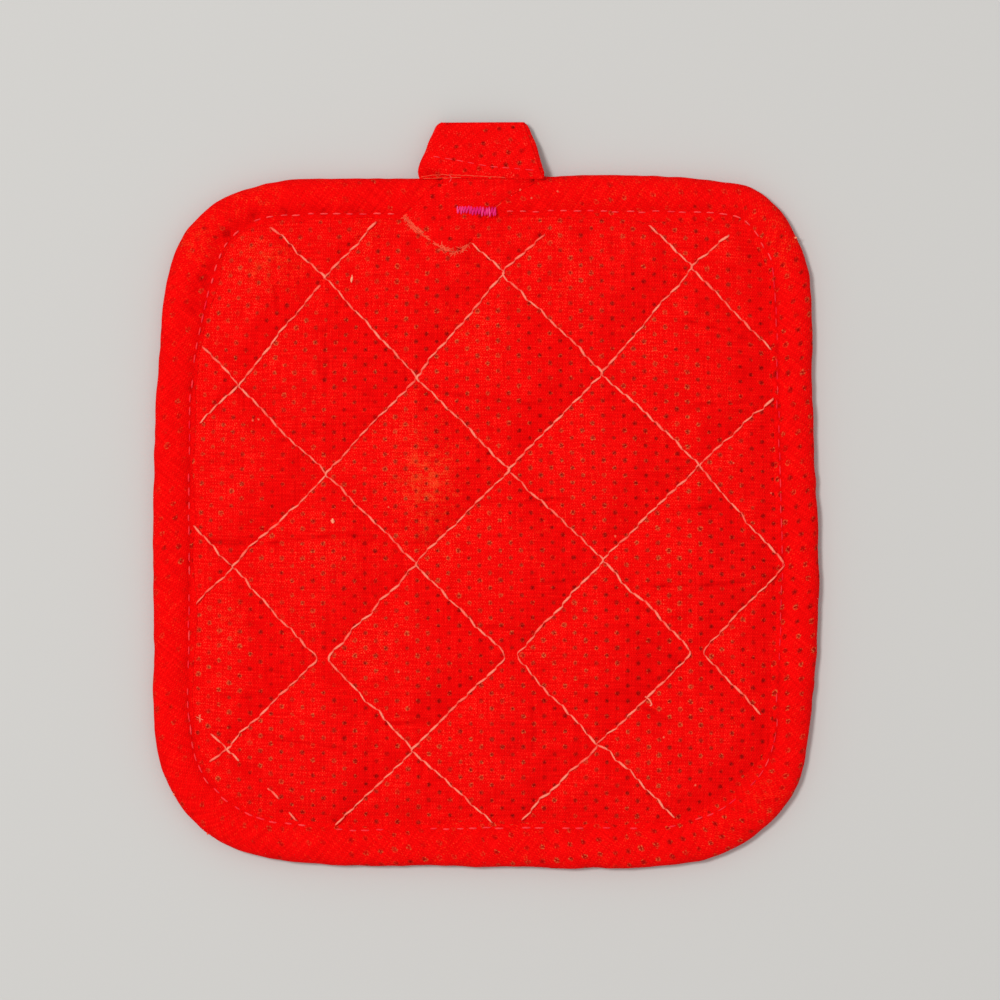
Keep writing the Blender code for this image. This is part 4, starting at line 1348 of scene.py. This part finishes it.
class Nodes:
    """Short ways to add shader nodes to one material."""

    def __init__(self, name):
        self.material = bpy.data.materials.new(name)
        self.material.use_nodes = True
        self.tree = self.material.node_tree
        self.shader = self.tree.nodes["Principled BSDF"]

    def node(self, kind, values=(), **settings):
        """A new node, with values or links for its first sockets."""
        made = self.tree.nodes.new(kind)
        for key, value in settings.items():
            setattr(made, key, value)
        for socket, value in zip(made.inputs, values):
            self.put(socket, value)
        return made

    def put(self, socket, value):
        if isinstance(value, bpy.types.NodeSocket):
            self.tree.links.new(value, socket)
        else:
            socket.default_value = value

    def math(self, operation, *values):
        return self.node("ShaderNodeMath", values, operation=operation).outputs[0]

    def plus(self, first, second):
        return self.math("ADD", first, second)

    def times(self, first, second):
        return self.math("MULTIPLY", first, second)

    def line(self, value, factor, offset):
        """Value times factor, plus offset."""
        return self.math("MULTIPLY_ADD", value, factor, offset)

    def vector(self, operation, *values):
        made = self.node("ShaderNodeVectorMath", values, operation=operation)
        return made.outputs["Value" if operation == "LENGTH" else 0]

    def step(self, value, low, high, to_low=0.0, to_high=1.0):
        """From to_low to to_high as the value goes from low to high, easing at both ends."""
        return self.node("ShaderNodeMapRange", (value, low, high, to_low, to_high),
                         interpolation_type="SMOOTHSTEP").outputs[0]

    def mix(self, share, first, second, blend="MIX"):
        made = self.node("ShaderNodeMix", (share,), data_type="RGBA", blend_type=blend)
        ends = [socket for socket in made.inputs if socket.type == "RGBA"]
        for socket, value in zip(ends, (first, second)):
            self.put(socket, value if isinstance(value, bpy.types.NodeSocket) else (*value, 1.0))
        return [socket for socket in made.outputs if socket.type == "RGBA"][0]

    def field(self, name, output="Fac"):
        return self.node("ShaderNodeAttribute", attribute_name=name).outputs[output]

    def noise(self, where, scale, detail=2.0, roughness=0.5, output=0):
        made = self.node("ShaderNodeTexNoise")
        for label, value in (("Vector", where), ("Scale", scale), ("Detail", detail),
                             ("Roughness", roughness)):
            self.put(made.inputs[label], value)
        return made.outputs[output]

    def streaked(self, where, factors, detail=1.0, roughness=0.5):
        """Noise stretched by factors along the threads of the cloth."""
        return self.noise(self.vector("MULTIPLY", where, factors), 1.0, detail, roughness)

    def tinted(self, colour, bright):
        """A colour multiplied by a brightness."""
        grey = self.node("ShaderNodeCombineColor", (bright, bright, bright)).outputs[0]
        return self.mix(1.0, colour, grey, "MULTIPLY")

    def finish(self, colour, roughness, specular, height, strength, distance):
        """The material, with the height as bump."""
        bump = self.node("ShaderNodeBump")
        for socket, value in (
                (bump.inputs["Strength"], strength), (bump.inputs["Distance"], distance),
                (bump.inputs["Height"], height), (self.shader.inputs["Base Color"], colour),
                (self.shader.inputs["Roughness"], roughness),
                (self.shader.inputs["Specular IOR Level"], specular),
                (self.shader.inputs["Normal"], bump.outputs[0])):
            self.put(socket, value)
        return self.material


def dots(nodes, cloth):
    """Distance from the nearest printed dot in millimetres, and that dot's random colour."""
    off = nodes.vector("SUBTRACT", nodes.noise(cloth, DOT_EDGES, output="Color"), (0.5, 0.5, 0.5))
    moved = nodes.vector("ADD", cloth, nodes.vector("MULTIPLY", off, (DOT_WANDER, DOT_WANDER, 0.0)))
    places = nodes.vector("DIVIDE", moved, (*DOT_CELL, 1.0))
    found = []
    for shift in (0.0, 0.5):
        shifted = nodes.vector("ADD", places, (shift, shift, 0.0))
        middle = nodes.vector("FLOOR", nodes.vector("ADD", shifted, (0.5, 0.5, 0.0)))
        gap = nodes.vector("MULTIPLY", nodes.vector("SUBTRACT", shifted, middle), (*DOT_CELL, 0.0))
        chance = nodes.node("ShaderNodeTexWhiteNoise", (
            nodes.vector("ADD", middle, (shift * 7, 0.3, 0.7)),), noise_dimensions="3D")
        found.append((nodes.vector("LENGTH", gap), chance.outputs["Color"]))
    (first, first_colour), (second, second_colour) = found
    colour = nodes.mix(nodes.math("LESS_THAN", first, second), second_colour, first_colour)
    return nodes.math("MINIMUM", first, second), colour


def cotton(name, print_share, glints, faded=FADED_RED):
    """Red plain-weave cotton with worn pin dots, from the piece's own named fields, with painted shade and
    painted highlights.
    """
    nodes = Nodes(name)
    cloth = nodes.field("cloth", "Vector")
    fade, ink, facing_light = (nodes.field(label) for label in ("fade", "ink", "facing_light"))
    # Threads of the weave, and thicker and thinner ones among them
    slubs = nodes.plus(*(nodes.streaked(cloth, factors) for factors in SLUBS))
    grain = nodes.noise(cloth, *NOISES["grain"])
    coarse = nodes.noise(cloth, *NOISES["coarse"])
    patch = nodes.noise(cloth, *NOISES["patch"])
    apart = nodes.node("ShaderNodeSeparateXYZ", (cloth,)).outputs
    weave = nodes.times(*(nodes.math("SINE", nodes.times(apart[axis], math.tau / WEAVE_REPEAT[axis]))
                          for axis in (0, 1)))
    # How worn each spot is, with painted shade where the field falls below 0: patches broken up by the
    # threads
    streaks = nodes.streaked(cloth, WORN_STREAKS, 3.0, 0.65)
    worn = nodes.plus(nodes.times(fade, nodes.step(streaks, 0.33, 0.67, 0.35, 1.5)),
                      nodes.line(patch, 0.35, -0.175))
    broken = nodes.plus(nodes.line(grain, 2.0, -0.6),
                        nodes.plus(nodes.times(weave, 0.10), nodes.line(coarse, 0.9, -0.9)))
    colour = nodes.mix(nodes.step(nodes.plus(worn, broken), 0.15, 0.95), CLOTH_RED, faded)
    # Painted shade, and random deeper patches: a deeper red where the wear falls below 0
    deep = nodes.times(nodes.plus(worn, -0.02), -1.0)
    colour = nodes.mix(nodes.step(deep, 0.0, 0.8), colour, DEEP_AND_SHADED_RED)
    # Thread tops worn pale, and a painted highlight on them where the cloth faces the light
    tops = nodes.plus(nodes.times(weave, 0.09), nodes.plus(grain, nodes.line(slubs, 0.25, -0.25)))
    pale = nodes.times(nodes.step(tops, 0.52, 0.90), nodes.line(facing_light, 0.5, 0.11))
    pale = nodes.times(pale, nodes.step(worn, -0.35, 0.5, 0.35, 1.35))
    colour = nodes.mix(pale, colour, RUBBED_AND_LIT_RED)
    colour = nodes.tinted(colour, nodes.plus(
        nodes.step(slubs, 0.6, 1.4, 0.85, 1.09),
        nodes.line(weave, 0.06, nodes.line(grain, 0.34, -0.17))))
    # Dots, each of its own size and strength
    distance, chance = dots(nodes, cloth)
    big, dark, glint_chance = nodes.node("ShaderNodeSeparateColor", (chance,)).outputs
    near = nodes.math("DIVIDE", distance, nodes.line(big, DOT_UNEVEN, DOT_RADIUS))
    strong = nodes.step(nodes.plus(ink, nodes.line(dark, 0.5, -0.25)), 0.0, 0.95)
    # Dots turn brownish where the cloth faces the light, as painted light, and a little everywhere from
    # wear
    worn_and_lit_ink = nodes.times(nodes.step(grain, 0.35, 0.6), nodes.line(facing_light, 0.9, 0.1))
    share = nodes.times(nodes.times(nodes.step(near, 1.4, 0.3), strong), print_share)
    share = nodes.times(share, nodes.step(grain, 0.3, 0.65, 1.1, 0.72))
    colour = nodes.mix(share, colour, nodes.mix(worn_and_lit_ink, INK_DARK, INK_WORN_AND_LIT))
    # Painted glints: orange highlight specks within the dots, a little stronger where the cloth faces the
    # light
    specks = nodes.noise(cloth, *NOISES["specks"])
    inside = nodes.step(nodes.math("ABSOLUTE", nodes.plus(near, -0.7)), 0.6, 0.2)
    lit = nodes.line(facing_light, 0.10, nodes.line(glint_chance, 0.14, nodes.plus(specks, glints)))
    lit = nodes.times(nodes.times(inside, strong), nodes.step(lit, 0.66, 0.84, 0.0, 0.6))
    colour = nodes.mix(lit, colour, INK_GLINT)
    height = nodes.plus(nodes.times(weave, 0.5), nodes.plus(slubs, nodes.times(grain, 0.8)))
    return nodes.finish(colour, nodes.step(slubs, 0.6, 1.4, 0.97, 0.86), COTTON_GLOSS,
                        height, COTTON_BUMP, COTTON_BUMP_DEPTH)


def spun(name, first, second):
    """Sewing thread of two plies, between two colours by the piece's tone field."""
    nodes = Nodes(name)
    along = nodes.field("along", "Vector")
    apart = nodes.node("ShaderNodeSeparateXYZ", (along,)).outputs
    ply = nodes.math("SINE", nodes.line(apart[0], math.tau / PLY_TWIST, apart[1]))
    fuzz = nodes.noise(nodes.vector("MULTIPLY", along, (3.0, 1.0, 1.0)), 2.0)
    bright = nodes.plus(nodes.step(fuzz, 0.2, 0.8, 0.85, 1.08), nodes.times(ply, 0.05))
    colour = nodes.tinted(nodes.mix(nodes.field("tone"), first, second), bright)
    return nodes.finish(colour, nodes.step(fuzz, 0.2, 0.8, 0.8, 0.6), THREAD_GLOSS,
                        nodes.plus(ply, fuzz), THREAD_BUMP, THREAD_BUMP_DEPTH)


# ---------------------------------------------------------------- stage, light and camera


def placed(name, data, place):
    """A new object with its data, at a place in metres."""
    thing = bpy.data.objects.new(name, data)
    bpy.context.scene.collection.objects.link(thing)
    thing.location = place
    return thing


def make_stage():
    """A plain pale floor."""
    mesh = bpy.data.meshes.new("floor")
    corners = ((-1, -1), (1, -1), (1, 1), (-1, 1))
    mesh.from_pydata([(FLOOR_HALF * x, FLOOR_HALF * y, 0.0) for x, y in corners], [], [(0, 1, 2, 3)])
    nodes = Nodes("floor")
    for label, value in (("Base Color", (*FLOOR_COLOUR, 1.0)), ("Roughness", 0.9),
                         ("Specular IOR Level", 0.1)):
        nodes.shader.inputs[label].default_value = value
    mesh.materials.append(nodes.material)
    placed("floor", mesh, (0.0, 0.0, -FLOOR_BELOW))


def make_light():
    """A soft square light that faces the middle of the pad."""
    data = bpy.data.lights.new("key", "AREA")
    data.shape = "SQUARE"
    data.size = LIGHT_SIZE
    data.energy = LIGHT_POWER
    light = placed("key", data, LIGHT_PLACE)
    light.rotation_euler = (-Vector(LIGHT_PLACE)).to_track_quat("-Z", "Y").to_euler()


def make_camera():
    """A long lens straight above, framing the view's width at the height of the bound edge."""
    data = bpy.data.cameras.new("camera")
    data.lens = LENS
    data.sensor_width = SENSOR
    data.clip_start = 0.01
    data.clip_end = 10.0
    height = BOUND_EDGE_HEIGHT + VIEW_WIDTH * LENS / SENSOR
    bpy.context.scene.camera = placed("camera", data, (*VIEW_MIDDLE, height))


def make_world():
    """Even white light from all sides, and colours shown as they are."""
    world = bpy.data.worlds.new("studio")
    world.use_nodes = True
    background = world.node_tree.nodes["Background"]
    background.inputs["Color"].default_value = (1.0, 1.0, 1.0, 1.0)
    background.inputs["Strength"].default_value = SKY_STRENGTH
    bpy.context.scene.world = world
    bpy.context.scene.view_settings.view_transform = "Standard"
    bpy.context.scene.view_settings.look = "None"


make_camera()
make_world()
make_stage()
make_light()

PAD, PAD_TREE = make_pad()
BINDING, BINDING_TREE = make_binding(PAD_TREE)
LOOP, LOOP_TREE = make_loop([PAD_TREE, BINDING_TREE])
ALL_TREES = [PAD_TREE, BINDING_TREE, LOOP_TREE]

for dressed, material in (
        (PAD, cotton("pad_cotton", 0.82, 0.0)),
        (BINDING, cotton("binding_cotton", 0.72, 0.07)),
        (LOOP, cotton("loop_cotton", 0.80, 0.04, FRAY_ORANGE)),
        (make_quilting_thread([PAD_TREE]), spun("quilting_thread", THREAD_PALE, THREAD_DEEP)),
        (make_binding_stitches([PAD_TREE, BINDING_TREE]),
         spun("binding_thread", STITCH_PALE, STITCH_PINK)),
        (make_loop_stitches(ALL_TREES), spun("loop_thread", STITCH_PALE, STITCH_PINK)),
        (make_bar_tack(ALL_TREES), spun("tack_thread", TACK_MAGENTA, TACK_PALE)),
        (make_frayed_threads(ALL_TREES), spun("frayed_thread", FRAY_ORANGE, FRAY_DEEP)),
        (make_lint(ALL_TREES), spun("lint", LINT_PALE, LINT_DEEP))):
    dressed.data.materials.append(material)
